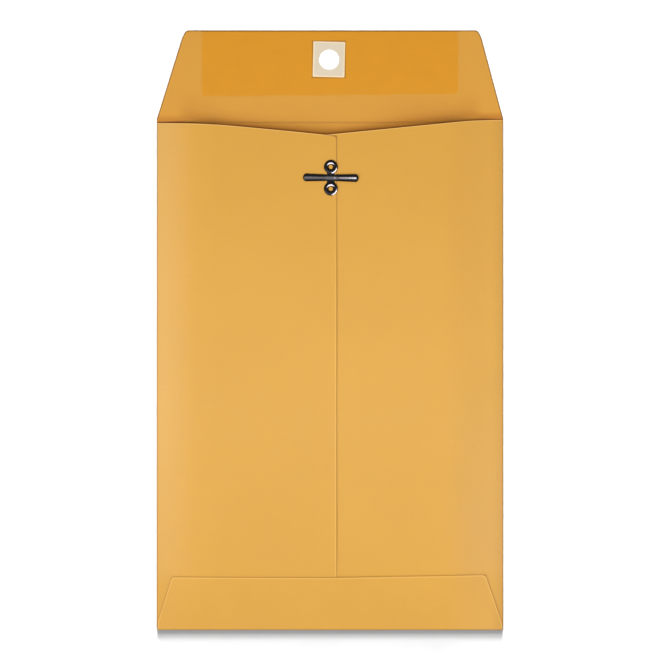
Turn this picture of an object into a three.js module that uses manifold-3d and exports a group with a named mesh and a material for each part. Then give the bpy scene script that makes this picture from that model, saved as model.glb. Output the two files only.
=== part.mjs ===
// Kraft clasp envelope, lying on its front face with the closing flap folded open.
// Sizes are millimetres. +Z points up out of the back panels, and +Y runs from the bottom fold
// to the tip of the flap. The origin is on the resting plane, in the middle of the open outline.

import * as THREE from "three";
import { mergeVertices } from "three/addons/utils/BufferGeometryUtils.js";
import Module from "manifold-3d";

const wasm = await Module();
wasm.setup();

// Blank, and the clearance between faces that lie on each other
const bodyWidth = 165.1;
const bodyLength = 242.1;
const paper = 0.16;
const glue = 0.08;
const seat = 0.02;

// Pocket: clear height between the sheets, at a side fold and in the middle of the mouth
const foldGap = 0.34;
const pocketGap = 4.7;
const sideSlope = 28;
const bottomSlope = 30;

// Throat: the shallow V in the top edges of the two back panels. Each edge runs straight from its
// dip on the centre line to a bend, and level from there to the side fold. Dips and shoulder are
// measured down from the crease.
const throatDipLeft = 6.2;
const throatDipRight = 5.6;
const throatShoulder = 0.3;
const throatBendLeft = 62;
const throatBendRight = 54;
const throatBendReach = 16;

// Centre seam: where the left panel's free edge lies, and how far it laps over the right panel
const seamX = 3.1;
const seamLap = 12;
const seamRamp = 20;
const seamFall = 10;
const seamGlueInset = 1.5;
const panelCornerRadius = 0.8;

// Bottom flap, glued over the back panels
const bottomFlapHeightLeft = 25.5;
const bottomFlapHeightRight = 26.5;
const bottomFlapInsetLeft = 7.1;
const bottomFlapInsetRight = 8.4;
const bottomFlapShoulderLeft = 4.3;
const bottomFlapShoulderRight = 3.4;
const bottomFlapDip = 0.8;
const bottomFlapCornerRadius = 1.2;
const cornerRelief = 1.2;
const bottomGlueSideInset = 6;
const bottomGlueEndInset = 3;

// Closing flap and the scored crease that it turns on
const flapDepth = 43.7;
const flapTaperLeft = 0.309;
const flapTaperRight = 0.267;
const flapShoulder = 1.3;
const flapCornerRadius = 4.2;
const creaseReachBody = 0.6;
const creaseReachFlap = 4;
const scoreWidth = 0.9;
const scoreDepth = 0.06;

// Gum, patch and hole on the closing flap
const gumWidth = 122;
const gumDepth = 31;
const gumThickness = 0.05;
const flapHoleDiameter = 10;
const flapHoleFromTip = 13.9;
const flapHoleX = -0.4;
const patchWidth = 15.4;
const patchLength = 17.2;
const patchThickness = 0.14;
const patchTurn = -0.017;

// Clasp: a stamped base held by two eyelets, and a prong to each side
const claspX = 0.4;
const claspFromCrease = 26.8;
const claspMetal = 0.32;
const eyeletSpacing = 10.4;
const eyeletRim = 3.3;
const eyeletCrestRadius = 2.5;
const eyeletCrest = 0.72;
const eyeletBore = 1.3;
const eyeletWall = 0.3;
const eyeletCurl = 2.4;
const eyeletClearance = 0.08;
const bandWidth = 3.6;
const ribHeight = 0.34;
const ribTaper = 0.15;
const prongReach = 13.2;
const prongRootWidth = 2.8;
const prongTipWidth = 3.7;
const prongCrown = 1;
const prongRise = 2.2;
const bendGap = 0.2;

// Facet counts
const foldSteps = 8;
const slopeSteps = 9;
const rampSteps = 3;
const curveSteps = 12;
const eyeletSteps = 3;
const eyeletSides = 24;
const holeSides = 32;
const crownSteps = 8;
const bladeSteps = 6;

// Places worked out from the sizes above
const halfWidth = bodyWidth / 2;
const foldRadius = paper + foldGap / 2;
const foldX = halfWidth - foldRadius;
const layer = paper + glue;
const panelFoot = paper + foldGap;
const pocketRise = pocketGap - foldGap;
const bottomRadius = (panelFoot + layer + paper) / 2;
const bottomY = -(bodyLength + flapDepth) / 2;
const creaseY = bottomY + bodyLength;
const tipY = creaseY + flapDepth;
const bottomFoldY = bottomY + bottomRadius;
const panelBottomY = bottomFoldY + cornerRelief;
const levelY = panelBottomY + bottomSlope;
const lapX = seamX - seamLap;
const panelTop = paper + pocketGap + layer + paper;
const claspY = creaseY - claspFromCrease;
const eyeletPlaces = [-eyeletSpacing / 2, eyeletSpacing / 2];
const eyeletHole = eyeletBore + eyeletWall + eyeletClearance;
const flapHoleY = tipY - flapHoleFromTip;
const outside = bodyWidth + bodyLength;

const kraft = new THREE.MeshStandardMaterial({ color: 0xe3ae56, roughness: 0.82, metalness: 0 });
const gumCoat = new THREE.MeshStandardMaterial({ color: 0xd9942c, roughness: 0.45, metalness: 0 });
const glueFilm = new THREE.MeshStandardMaterial({ color: 0xd8b878, roughness: 0.6, metalness: 0 });
const patchPaper = new THREE.MeshStandardMaterial({ color: 0xe4d6bd, roughness: 0.75, metalness: 0 });
const steel = new THREE.MeshStandardMaterial({ color: 0x4a4a4e, roughness: 0.28, metalness: 1 });

const envelope = new THREE.Group();

// An ease from 0 to 1 as t goes from 0 to 1, level at both ends.
function smooth(t) {
  const s = THREE.MathUtils.clamp(t, 0, 1);
  return s * s * (3 - 2 * s);
}

// Numbers from a to b in equal steps, both ends included.
function steps(a, b, count) {
  return Array.from({ length: count + 1 }, (_, i) => a + ((b - a) * i) / count);
}

function addPiece(name, geometry, material, parent = envelope) {
  geometry.computeVertexNormals();
  const mesh = new THREE.Mesh(geometry, material);
  mesh.name = name;
  parent.add(mesh);
  return mesh;
}

// Turns the faces of a closed geometry outwards, if they point in.
function faceOutward(geometry) {
  const position = geometry.getAttribute("position");
  const index = geometry.index.array;
  const corner = (k) => new THREE.Vector3().fromBufferAttribute(position, index[k]);
  let volume = 0;
  for (let k = 0; k < index.length; k += 3) {
    volume += corner(k).dot(corner(k + 1).cross(corner(k + 2)));
  }
  if (volume < 0) {
    for (let k = 0; k < index.length; k += 3) {
      [index[k + 1], index[k + 2]] = [index[k + 2], index[k + 1]];
    }
  }
  return geometry;
}

function toSolid(geometry) {
  const bare = new THREE.BufferGeometry();
  bare.setAttribute("position", geometry.getAttribute("position"));
  if (geometry.index) {
    bare.setIndex(geometry.index);
  }
  const merged = faceOutward(mergeVertices(bare, 1e-4));
  return new wasm.Manifold(
    new wasm.Mesh({
      numProp: 3,
      vertProperties: merged.getAttribute("position").array,
      triVerts: new Uint32Array(merged.index.array),
    }),
  );
}

function toGeometry(solid) {
  const mesh = solid.getMesh();
  const geometry = new THREE.BufferGeometry();
  geometry.setAttribute("position", new THREE.BufferAttribute(mesh.vertProperties, 3));
  geometry.setIndex(new THREE.BufferAttribute(mesh.triVerts, 1));
  return geometry;
}

// A closed sheet between two surfaces. lowerAt(i, j) and upperAt(i, j) give [x, y, z].
function sheetGeometry(columns, rows, lowerAt, upperAt) {
  const points = [];
  for (const at of [lowerAt, upperAt]) {
    for (let i = 0; i < columns; i++) {
      for (let j = 0; j < rows; j++) {
        points.push(...at(i, j));
      }
    }
  }
  const lower = (i, j) => i * rows + j;
  const upper = (i, j) => columns * rows + i * rows + j;
  const index = [];
  for (let i = 0; i + 1 < columns; i++) {
    for (let j = 0; j + 1 < rows; j++) {
      index.push(upper(i, j), upper(i + 1, j), upper(i + 1, j + 1));
      index.push(upper(i, j), upper(i + 1, j + 1), upper(i, j + 1));
      index.push(lower(i, j), lower(i + 1, j + 1), lower(i + 1, j));
      index.push(lower(i, j), lower(i, j + 1), lower(i + 1, j + 1));
    }
  }
  for (const [from, to] of rimEdges(columns, rows)) {
    index.push(lower(...from), lower(...to), upper(...to));
    index.push(lower(...from), upper(...to), upper(...from));
  }
  const geometry = new THREE.BufferGeometry();
  geometry.setAttribute("position", new THREE.Float32BufferAttribute(points, 3));
  geometry.setIndex(index);
  return faceOutward(geometry);
}

// The edges round the outside of a grid, in order, each as a pair of [column, row].
function rimEdges(columns, rows) {
  const rim = [];
  for (let i = 0; i < columns - 1; i++) {
    rim.push([i, 0]);
  }
  for (let j = 0; j < rows - 1; j++) {
    rim.push([columns - 1, j]);
  }
  for (let i = columns - 1; i > 0; i--) {
    rim.push([i, rows - 1]);
  }
  for (let j = rows - 1; j > 0; j--) {
    rim.push([0, j]);
  }
  return rim.map((from, k) => [from, rim[(k + 1) % rim.length]]);
}

// A flat plate with the outline of a shape.
function plate(shape, bottom, top) {
  const options = { depth: top - bottom, bevelEnabled: false, curveSegments: curveSteps };
  const geometry = new THREE.ExtrudeGeometry(shape, options);
  geometry.translate(0, 0, bottom);
  return geometry;
}

// An upright prism far taller than the envelope, to trim a sheet to an outline.
function trimmer(shape) {
  return toSolid(plate(shape, -outside, outside));
}

function discTrimmer(x, y, radius) {
  const geometry = new THREE.CylinderGeometry(radius, radius, 2 * outside, holeSides);
  geometry.rotateX(Math.PI / 2);
  geometry.translate(x, y, 0);
  return toSolid(geometry);
}

// An outline of straight sides, with each corner [x, y, radius] eased by a curve of that radius.
function roundedShape(corners) {
  const shape = new THREE.Shape();
  corners.forEach(([x, y, radius = 0], k) => {
    const corner = new THREE.Vector2(x, y);
    const before = new THREE.Vector2(...corners.at(k - 1)).sub(corner).normalize();
    const after = new THREE.Vector2(...corners[(k + 1) % corners.length]).sub(corner).normalize();
    const halfTurn = Math.acos(THREE.MathUtils.clamp(before.dot(after), -1, 1)) / 2;
    const reach = radius / Math.tan(halfTurn);
    const start = corner.clone().addScaledVector(before, reach);
    const end = corner.clone().addScaledVector(after, reach);
    if (k === 0) {
      shape.moveTo(start.x, start.y);
    } else {
      shape.lineTo(start.x, start.y);
    }
    if (radius > 0) {
      shape.quadraticCurveTo(x, y, end.x, end.y);
    }
  });
  shape.closePath();
  return shape;
}

function rectangle(left, bottom, right, top) {
  return roundedShape([
    [left, bottom],
    [right, bottom],
    [right, top],
    [left, top],
  ]);
}

function withHole(shape, x, y, radius) {
  shape.holes.push(new THREE.Path().absarc(x, y, radius, 0, 2 * Math.PI, true));
  return shape;
}

// How far the pocket has opened at a point, from 0 at a side fold or the bottom to 1 in the middle.
function opened(x, y) {
  return smooth((foldX - Math.abs(x)) / sideSlope) * smooth((y - panelBottomY) / bottomSlope);
}

// Climb of the left panel onto the right one, from 0 to 1 just before the lap.
function lapClimb(x) {
  return smooth((x - lapX + seamRamp) / (seamRamp - seat));
}

// Underside of the right back panel.
function rightUnder(x, y) {
  return panelFoot + pocketRise * opened(x, y);
}

// Underside of the left back panel, which climbs one layer to lap over the right one.
function leftUnder(x, y) {
  return rightUnder(x, y) + layer * lapClimb(x);
}

// Underside of the bottom flap, which lies over both panels and falls away past the seam.
function bottomFlapUnder(x, y) {
  const fall = 1 - smooth((x - seamX - seat) / seamFall);
  const start = smooth((y - bottomFoldY) / (cornerRelief - seat));
  return rightUnder(x, y) + layer * (1 + Math.min(lapClimb(x), fall) * start);
}

// Every sheet over the pocket has its corners on one grid, so that the layers stay parallel.
const slopeColumns = steps(0, sideSlope, slopeSteps);
const columnsX = [
  ...slopeColumns.map((s) => s - foldX),
  ...steps(lapX - seamRamp, lapX, rampSteps),
  ...steps(seamX, seamX + seamFall, rampSteps),
  ...slopeColumns.map((s) => foldX - s).reverse(),
];
const flatRows = steps(panelBottomY, levelY, slopeSteps);
const rowsY = [...flatRows, creaseY];
const foldTurns = steps(-Math.PI / 2, Math.PI / 2, foldSteps).slice(0, -1);

function columnsFrom(left, right) {
  return columnsX.filter((x) => x >= left && x <= right);
}

// A back panel with the side fold that joins it to the front: side -1 is left and +1 is right.
function backPanel(side, xs, under) {
  const fold = foldTurns.map((turn) => (y, lift) => {
    const radius = foldGap / 2 + lift;
    return [side * (foldX + radius * Math.cos(turn)), y, foldRadius + radius * Math.sin(turn)];
  });
  const flat = xs.map((x) => (y, lift) => [x, y, under(x, y) + lift]);
  const columns = side < 0 ? [...fold, ...flat] : [...flat, ...fold.reverse()];
  return sheetGeometry(
    columns.length,
    rowsY.length,
    (i, j) => columns[i](rowsY[j], 0),
    (i, j) => columns[i](rowsY[j], paper),
  );
}

// What is kept of a back panel: everything below its edge of the throat.
function throatShape(side, freeX, dip, bend) {
  const slope = (dip - throatShoulder) / bend;
  const edgeY = (x) => creaseY - dip + side * slope * x;
  const shoulderY = creaseY - throatShoulder;
  const bendStart = side * (bend - throatBendReach);
  const bendEnd = side * (bend + throatBendReach);
  const shape = new THREE.Shape();
  shape.moveTo(side * outside, -outside);
  shape.lineTo(freeX, -outside);
  shape.lineTo(freeX, edgeY(freeX) - panelCornerRadius);
  shape.quadraticCurveTo(freeX, edgeY(freeX), freeX + side * panelCornerRadius, edgeY(freeX));
  shape.lineTo(bendStart, edgeY(bendStart));
  shape.quadraticCurveTo(side * bend, shoulderY, bendEnd, shoulderY);
  shape.lineTo(side * outside, shoulderY);
  shape.closePath();
  return shape;
}

// Holes for the two eyelets through whatever lies under the clasp.
function pierced(solid) {
  const cut = (left, y) => left.subtract(discTrimmer(claspX, claspY + y, eyeletHole));
  return eyeletPlaces.reduce(cut, solid);
}

function buildFrontPanel() {
  const edgeX = foldX - seat;
  const topY = creaseY - creaseReachBody - seat;
  addPiece("front_panel", plate(rectangle(-edgeX, bottomFoldY + seat, edgeX, topY), 0, paper), kraft);
}

function buildBackPanel(name, side, freeX, xs, under, dip, bend) {
  const sheet = toSolid(backPanel(side, xs, under));
  const cut = sheet.intersect(trimmer(throatShape(side, freeX, dip, bend)));
  addPiece(name, toGeometry(pierced(cut)), kraft);
}

function buildBackPanels() {
  const leftXs = columnsFrom(-foldX, seamX);
  buildBackPanel("back_panel_left", -1, seamX, leftXs, leftUnder, throatDipLeft, throatBendLeft);
  const rightXs = columnsFrom(lapX, foldX);
  buildBackPanel("back_panel_right", 1, lapX, rightXs, rightUnder, throatDipRight, throatBendRight);
}

// The outline of the bottom flap, drawn in from its sides and from its two ends.
function bottomFlapShape(sideInset, endInset) {
  const footY = endInset > 0 ? panelBottomY + endInset : -outside;
  const topY = (height) => bottomY + height - endInset;
  const middle = (bottomFlapHeightLeft + bottomFlapHeightRight) / 2 - bottomFlapDip;
  const edgeX = foldX - sideInset;
  return roundedShape([
    [-edgeX, footY],
    [edgeX, footY],
    [edgeX, bottomY + Math.max(bottomFlapShoulderRight, endInset + footY - bottomY)],
    [halfWidth - bottomFlapInsetRight - sideInset, topY(bottomFlapHeightRight), bottomFlapCornerRadius],
    [0, topY(middle)],
    [bottomFlapInsetLeft + sideInset - halfWidth, topY(bottomFlapHeightLeft), bottomFlapCornerRadius],
    [-edgeX, bottomY + Math.max(bottomFlapShoulderLeft, endInset + footY - bottomY)],
  ]);
}

// The bottom flap turns up round the bottom fold and lies over both back panels.
function buildBottomFlap() {
  const fold = foldTurns.map((turn) => (x, lift) => {
    const radius = bottomRadius - paper + lift;
    return [x, bottomFoldY - radius * Math.cos(turn), bottomRadius + radius * Math.sin(turn)];
  });
  const flat = [bottomFoldY, ...flatRows].map((y) => (x, lift) => [x, y, bottomFlapUnder(x, y) + lift]);
  const rows = [...fold, ...flat];
  const sheet = sheetGeometry(
    columnsX.length,
    rows.length,
    (i, j) => rows[j](columnsX[i], 0),
    (i, j) => rows[j](columnsX[i], paper),
  );
  const cut = toSolid(sheet).intersect(trimmer(bottomFlapShape(0, 0)));
  addPiece("bottom_flap", toGeometry(cut), kraft);
}

// A glue film that fills the space between two surfaces of the pocket, trimmed to an outline.
function glueBetween(xs, under, over, shape) {
  const film = sheetGeometry(
    xs.length,
    rowsY.length,
    (i, j) => [xs[i], rowsY[j], under(xs[i], rowsY[j]) + paper + seat],
    (i, j) => [xs[i], rowsY[j], over(xs[i], rowsY[j]) - seat],
  );
  return toSolid(film).intersect(trimmer(shape));
}

function buildGlue() {
  const left = lapX + seamGlueInset;
  const right = seamX - seamGlueInset;
  const topY = creaseY - throatDipLeft - 2 * seamGlueInset;
  const seamShape = rectangle(left, panelBottomY + bottomGlueEndInset, right, topY);
  const seam = glueBetween(columnsFrom(lapX, seamX), rightUnder, leftUnder, seamShape);
  addPiece("center_seam_glue", toGeometry(pierced(seam)), glueFilm);

  const outline = bottomFlapShape(bottomGlueSideInset, bottomGlueEndInset);
  const leftHalf = trimmer(rectangle(-outside, -outside, seamX - seamGlueInset, outside));
  const rightHalf = trimmer(rectangle(seamX + seamGlueInset, -outside, outside, outside));
  const overLeft = glueBetween(columnsFrom(-foldX, seamX), leftUnder, bottomFlapUnder, outline);
  addPiece("bottom_glue_left", toGeometry(overLeft.intersect(leftHalf)), glueFilm);
  const overRight = glueBetween(columnsFrom(seamX, foldX), rightUnder, bottomFlapUnder, outline);
  addPiece("bottom_glue_right", toGeometry(overRight.intersect(rightHalf)), glueFilm);
}

// The outline of the closing flap, run on below the crease, with its hole.
function flapShape() {
  const run = flapDepth - flapShoulder;
  const shoulderY = creaseY + flapShoulder;
  const shape = roundedShape([
    [-halfWidth, creaseY - outside],
    [halfWidth, creaseY - outside],
    [halfWidth, shoulderY],
    [halfWidth - run * flapTaperRight, tipY, flapCornerRadius],
    [run * flapTaperLeft - halfWidth, tipY, flapCornerRadius],
    [-halfWidth, shoulderY],
  ]);
  return withHole(shape, flapHoleX, flapHoleY, flapHoleDiameter / 2);
}

// The scored strip between the front panel and the closing flap, with its pressed groove.
function buildCrease() {
  const section = [
    [-creaseReachBody, paper],
    [-scoreWidth / 2, paper],
    [0, paper - scoreDepth],
    [scoreWidth / 2, paper],
    [creaseReachFlap, paper],
  ];
  const edgeX = foldX - seat;
  const strip = sheetGeometry(
    2,
    section.length,
    (i, j) => [(2 * i - 1) * edgeX, creaseY + section[j][0], 0],
    (i, j) => [(2 * i - 1) * edgeX, creaseY + section[j][0], section[j][1]],
  );
  const cut = toSolid(strip).intersect(trimmer(flapShape()));
  addPiece("flap_crease", toGeometry(cut), kraft);
}

function buildClosingFlap() {
  const rootY = creaseY + creaseReachFlap + seat;
  const flap = toSolid(plate(rectangle(-halfWidth, rootY, halfWidth, tipY + seat), 0, paper));
  addPiece("closure_flap", toGeometry(flap.intersect(trimmer(flapShape()))), kraft);

  const gumBottom = paper + seat;
  const gumTop = gumBottom + gumThickness;
  const gum = rectangle(-gumWidth / 2, tipY - gumDepth, gumWidth / 2, tipY - seat);
  withHole(gum, flapHoleX, flapHoleY, flapHoleDiameter / 2);
  addPiece("flap_gum", plate(gum, gumBottom, gumTop), gumCoat);

  const patchBottom = gumTop + seat;
  const patch = rectangle(-patchWidth / 2, -patchLength / 2, patchWidth / 2, patchLength / 2);
  withHole(patch, 0, 0, flapHoleDiameter / 2);
  const patchPlate = plate(patch, patchBottom, patchBottom + patchThickness);
  const mesh = addPiece("flap_patch", patchPlate, patchPaper);
  mesh.rotation.z = patchTurn;
  mesh.position.set(flapHoleX, flapHoleY, 0);
}

// A drawn eyelet: a domed rim, a funnel down through both panels, and a curl clinched inside the
// pocket. Heights are from the top of the left panel.
function eyeletSolid() {
  const inside = -(paper + layer) - seat;
  const curlBottom = inside - eyeletWall;
  const curlMiddle = (eyeletBore + eyeletWall + eyeletCurl) / 2;
  const profile = new THREE.Path();
  profile.moveTo(eyeletRim, seat);
  profile.quadraticCurveTo(eyeletRim, eyeletCrest, eyeletCrestRadius, eyeletCrest);
  profile.quadraticCurveTo(eyeletBore + eyeletWall, eyeletCrest, eyeletBore, seat);
  profile.lineTo(eyeletBore, inside);
  profile.quadraticCurveTo(eyeletBore, curlBottom, curlMiddle, curlBottom);
  profile.quadraticCurveTo(eyeletCurl, curlBottom, eyeletCurl, inside);
  profile.lineTo(eyeletBore + eyeletWall, inside);
  profile.lineTo(eyeletBore + eyeletWall, seat);
  profile.closePath();
  const geometry = new THREE.LatheGeometry(profile.getPoints(eyeletSteps), eyeletSides);
  geometry.rotateX(Math.PI / 2);
  return toSolid(geometry);
}

// A blade along X with a rounded back. Each station is [x, half width, height], and the side walls
// stand as high as the lip.
function bladeSolid(stations, lip, base) {
  const turns = steps(Math.PI, 0, crownSteps);
  const at = (i, j, z) => [stations[i][0], stations[i][1] * Math.cos(turns[j]), z];
  const backAt = (i, j) => lip + (stations[i][2] - lip) * Math.sin(turns[j]);
  return toSolid(
    sheetGeometry(
      stations.length,
      turns.length,
      (i, j) => at(i, j, base),
      (i, j) => at(i, j, backAt(i, j)),
    ),
  );
}

// The low rib across the band, between the roots of the prongs.
function ribSolid() {
  const reach = bandWidth / 2 - seat;
  const stations = steps(-reach, reach, crownSteps).map((x) => {
    const share = x / reach;
    const half = (prongRootWidth / 2) * (1 - ribTaper * share * share);
    return [x, half, claspMetal + seat + ribHeight * Math.cos((share * Math.PI) / 2)];
  });
  return bladeSolid(stations, claspMetal, 2 * seat);
}

// The base of the clasp: a band from eyelet to eyelet, with the rib across its middle.
function buildClaspBase(clasp) {
  const band = rectangle(-bandWidth / 2, -eyeletSpacing / 2, bandWidth / 2, eyeletSpacing / 2);
  let solid = toSolid(plate(band, seat, claspMetal)).add(ribSolid());
  for (const y of eyeletPlaces) {
    solid = solid.subtract(discTrimmer(0, y, eyeletCrestRadius));
    solid = solid.add(eyeletSolid().translate([0, y, 0]));
  }
  addPiece("clasp_base", toGeometry(solid), steel, clasp);
}

// Sections of a prong, from its bend to its round tip, drawn in from the outside by an inset.
function prongStations(inset) {
  const root = bandWidth / 2 + bendGap;
  const tipRadius = prongTipWidth / 2;
  const widest = prongReach - tipRadius;
  const blade = steps(root, widest, bladeSteps).map((x) => {
    const half = THREE.MathUtils.lerp(prongRootWidth, prongTipWidth, (x - root) / (widest - root)) / 2;
    const height = THREE.MathUtils.lerp(claspMetal, prongCrown, smooth((x - root) / prongRise));
    return [x, half - inset, height - inset];
  });
  const tip = steps(0, Math.PI / 2, bladeSteps).slice(1, -1).map((turn) => {
    const half = (tipRadius - inset) * Math.cos(turn);
    const height = THREE.MathUtils.lerp(claspMetal, prongCrown, Math.cos(turn));
    return [widest + (tipRadius - inset) * Math.sin(turn), half, height - inset];
  });
  return [...blade, ...tip];
}

// A prong is a hollow blade of bent metal, flat where it turns up from the base.
function buildProng(name, side, clasp) {
  const hollow = prongStations(claspMetal).filter((station) => station[2] > claspMetal / 2);
  const outer = bladeSolid(prongStations(0), claspMetal, 0);
  const inner = bladeSolid(hollow, 0, -claspMetal);
  const mesh = addPiece(name, toGeometry(outer.subtract(inner)), steel, clasp);
  mesh.rotation.z = side < 0 ? Math.PI : 0;
  mesh.position.z = seat;
}

function buildClasp() {
  const clasp = new THREE.Group();
  clasp.position.set(claspX, claspY, panelTop);
  envelope.add(clasp);
  buildClaspBase(clasp);
  buildProng("clasp_prong_left", -1, clasp);
  buildProng("clasp_prong_right", 1, clasp);
}

buildFrontPanel();
buildBackPanels();
buildBottomFlap();
buildGlue();
buildCrease();
buildClosingFlap();
buildClasp();

export default envelope;
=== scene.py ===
# The looks of a kraft clasp envelope that lies on its front face with its closing flap open.
# Sizes are millimetres, as in the part's source, and meshes are scaled to metres when made. Turns
# are radians.
# Each sheet of paper is drawn flat, as an outline with a grid of points inside it, and a place
# function then puts its two faces where they lie on the folded envelope.

import math

import bpy
import numpy as np
from mathutils.geometry import delaunay_2d_cdt
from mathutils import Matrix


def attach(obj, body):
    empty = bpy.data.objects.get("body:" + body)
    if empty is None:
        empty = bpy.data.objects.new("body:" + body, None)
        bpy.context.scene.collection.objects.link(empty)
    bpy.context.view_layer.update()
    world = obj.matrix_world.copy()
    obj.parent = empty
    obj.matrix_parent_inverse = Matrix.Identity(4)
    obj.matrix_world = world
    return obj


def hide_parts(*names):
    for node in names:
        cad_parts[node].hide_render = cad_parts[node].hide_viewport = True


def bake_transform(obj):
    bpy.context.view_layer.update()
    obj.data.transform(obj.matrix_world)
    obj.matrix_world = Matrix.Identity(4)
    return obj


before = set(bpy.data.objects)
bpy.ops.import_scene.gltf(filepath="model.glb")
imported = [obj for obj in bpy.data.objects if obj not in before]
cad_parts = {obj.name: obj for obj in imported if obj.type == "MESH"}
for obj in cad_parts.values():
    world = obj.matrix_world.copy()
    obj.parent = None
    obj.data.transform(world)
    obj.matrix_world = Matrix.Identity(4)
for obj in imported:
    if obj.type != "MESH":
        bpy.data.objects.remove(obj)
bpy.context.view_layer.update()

MM = 0.001

# Blank, and the clearance between faces that lie on each other
BODY_WIDTH = 165.1
BODY_LENGTH = 242.1
PAPER = 0.16
GLUE = 0.08
SEAT = 0.02

# Pocket
FOLD_GAP = 0.34
POCKET_GAP = 4.7
SIDE_SLOPE = 28
BOTTOM_SLOPE = 30

# Throat: dip on the centre line, bend and shoulder of the left and right back panel. They follow
# the photograph more closely than the source does, by up to 1.1 mm at the right shoulder.
THROAT_DIP = {-1: 6.6, 1: 6.2}
THROAT_BEND = {-1: 63, 1: 71}
THROAT_SHOULDER = {-1: 0.68, 1: -0.8}
THROAT_BEND_REACH = {-1: 16, 1: 10}
THROAT_BULGE = {-1: 0.16, 1: 0}
PANEL_CORNER = 0.4

# Centre seam
SEAM_X = 3.22
SEAM_LAP = 12
SEAM_RAMP = 20
SEAM_FALL = 10
SEAM_GLUE_INSET = 1.5

# Bottom flap
BOTTOM_FLAP_HEIGHT = {-1: 25.42, 1: 26.5}
BOTTOM_FLAP_INSET = {-1: 7.1, 1: 8.4}
BOTTOM_FLAP_SHOULDER = {-1: 4.3, 1: 3.4}
BOTTOM_FLAP_DIP = 0.8
BOTTOM_FLAP_CORNER = 0.4
CORNER_RELIEF = 1.2
BOTTOM_GLUE_SIDE_INSET = 6
BOTTOM_GLUE_END_INSET = 3

# Closing flap and its scored crease
FLAP_DEPTH = 43.7
FLAP_TAPER = {-1: 0.311, 1: 0.267}
FLAP_SHOULDER = 1.3
FLAP_CORNER = 4.3
FLAP_CORNER_LEAN = 1.7
TIP_TRIM = 0.15
SCORE_DROP = 0.3
SCORE_HALF_WIDTH = 0.7

# Gum, patch and hole
GUM_WIDTH = 122
GUM_DEPTH = 31
GUM_THICKNESS = 0.05
GUM_BLEED = 0.6
GUM_FOOT_RISE = {-1: -0.3, 1: 0.67}
HOLE_RADIUS = 4.85
HOLE_FROM_TIP = 13.95
HOLE_X = -0.4
PATCH_WIDTH = 15.15
PATCH_LENGTH = 16.9
PATCH_OFF_HOLE = (-0.12, 0.15)
PATCH_THICKNESS = 0.14
PATCH_TURN = -0.024
PATCH_CORNER = 0.35

# Clasp
CLASP_X = 0.4
CLASP_FROM_CREASE = 26.8
METAL = 0.32
LEAST_METAL = 0.1
EYELET_SPACING = 10.4
EYELET_RIM = 3.3
EYELET_CREST_RADIUS = 2.15
EYELET_CREST = 0.72
EYELET_BORE = 1.12
EYELET_WALL = 0.48
EYELET_CURL = 2.4
EYELET_HOLE = 1.68
BAND_WIDTH = 3.6
FILLET = 0.8
FILLET_TURN = 0.22
RIB_HEIGHT = 0.34
RIB_HALF_WIDTH = 1.8
PRONG_REACH = 13.2
PRONG_ROOT_WIDTH = 3.1
PRONG_TIP_WIDTH = 3.7
PRONG_TIP_REACH = 1.45
PRONG_CROWN = 1
PRONG_RIM_SHARE = 0.55
PRONG_RISE = 2.2
PRONG_START = 1.2
PRONG_BEND = 2
PRONG_TURN = math.radians(0.8)

# How far loose paper edges stand up, and how far in from the edge they start to rise
SEAM_LIFT = 0.22
SEAM_LIFT_REACH = 3
FLAP_EDGE_LIFT = 0.2
FLAP_EDGE_REACH = 2.6

# Slow waves of the loose sheets: height, two lengths that set their slant, and phase
SHEET_WAVES = ((0.30, 27, 49, 0.7), (0.22, 35, -31, 2.2), (0.10, 13, 90, 4.0))

# Where the sheets are held still: below the throat, round the clasp, and at the seam's two ends
THROAT_HOLD = 8
THROAT_HOLD_EASE = 26
CLASP_HOLD = 14
CLASP_HOLD_EASE = 30
SEAM_HELD_TOP = 14
SEAM_HELD_FOOT = 28
SEAM_HELD_EASE = 8

# Places worked out from the sizes
HALF_WIDTH = BODY_WIDTH / 2
FOLD_RADIUS = PAPER + FOLD_GAP / 2
FOLD_X = HALF_WIDTH - FOLD_RADIUS
LAYER = PAPER + GLUE
PANEL_FOOT = PAPER + FOLD_GAP
POCKET_RISE = POCKET_GAP - FOLD_GAP
BOTTOM_RADIUS = (PANEL_FOOT + LAYER + PAPER) / 2
BOTTOM_Y = -(BODY_LENGTH + FLAP_DEPTH) / 2
CREASE_Y = BOTTOM_Y + BODY_LENGTH
TIP_Y = CREASE_Y + FLAP_DEPTH - TIP_TRIM
BOTTOM_FOLD_Y = BOTTOM_Y + BOTTOM_RADIUS
PANEL_BOTTOM_Y = BOTTOM_FOLD_Y + CORNER_RELIEF
LAP_X = SEAM_X - SEAM_LAP
PANEL_TOP = PAPER + POCKET_GAP + LAYER + PAPER
CLASP_Y = CREASE_Y - CLASP_FROM_CREASE
HOLE_Y = TIP_Y - HOLE_FROM_TIP
SHOULDER_Y = CREASE_Y + FLAP_SHOULDER
SIDE_ARC = math.pi * (FOLD_GAP / 2 + PAPER / 2)
BOTTOM_ARC = math.pi * (BOTTOM_RADIUS - PAPER / 2)
EYELET_PLACES = (-EYELET_SPACING / 2, EYELET_SPACING / 2)
BOTTOM_FLAP_MIDDLE = sum(BOTTOM_FLAP_HEIGHT.values()) / 2 - BOTTOM_FLAP_DIP

# Spacing of grid points in the paper and counts of points round small curves
PAPER_STEP = 2
FOLD_COUNT = 10
CORNER_COUNT = 8
HOLE_COUNT = 72
EYELET_COUNT = 64

# Rows of points beside a panel's free edge, and where its even rows begin
EDGE_ROWS = (0.25, 0.6, 1.0, 1.5, 2.1, 2.8)
EVEN_ROWS_START = 3.6

# How close grid points may come to an outline, and how far off a fold an edge counts as cut
FINE_CLEARANCE = 0.04
EDGE_MARGIN = 0.01

# Points nearer to each other than this merge, and triangles smaller than this are dropped
MERGE_GAP = 1e-7
LEAST_AREA = 1e-10

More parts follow.
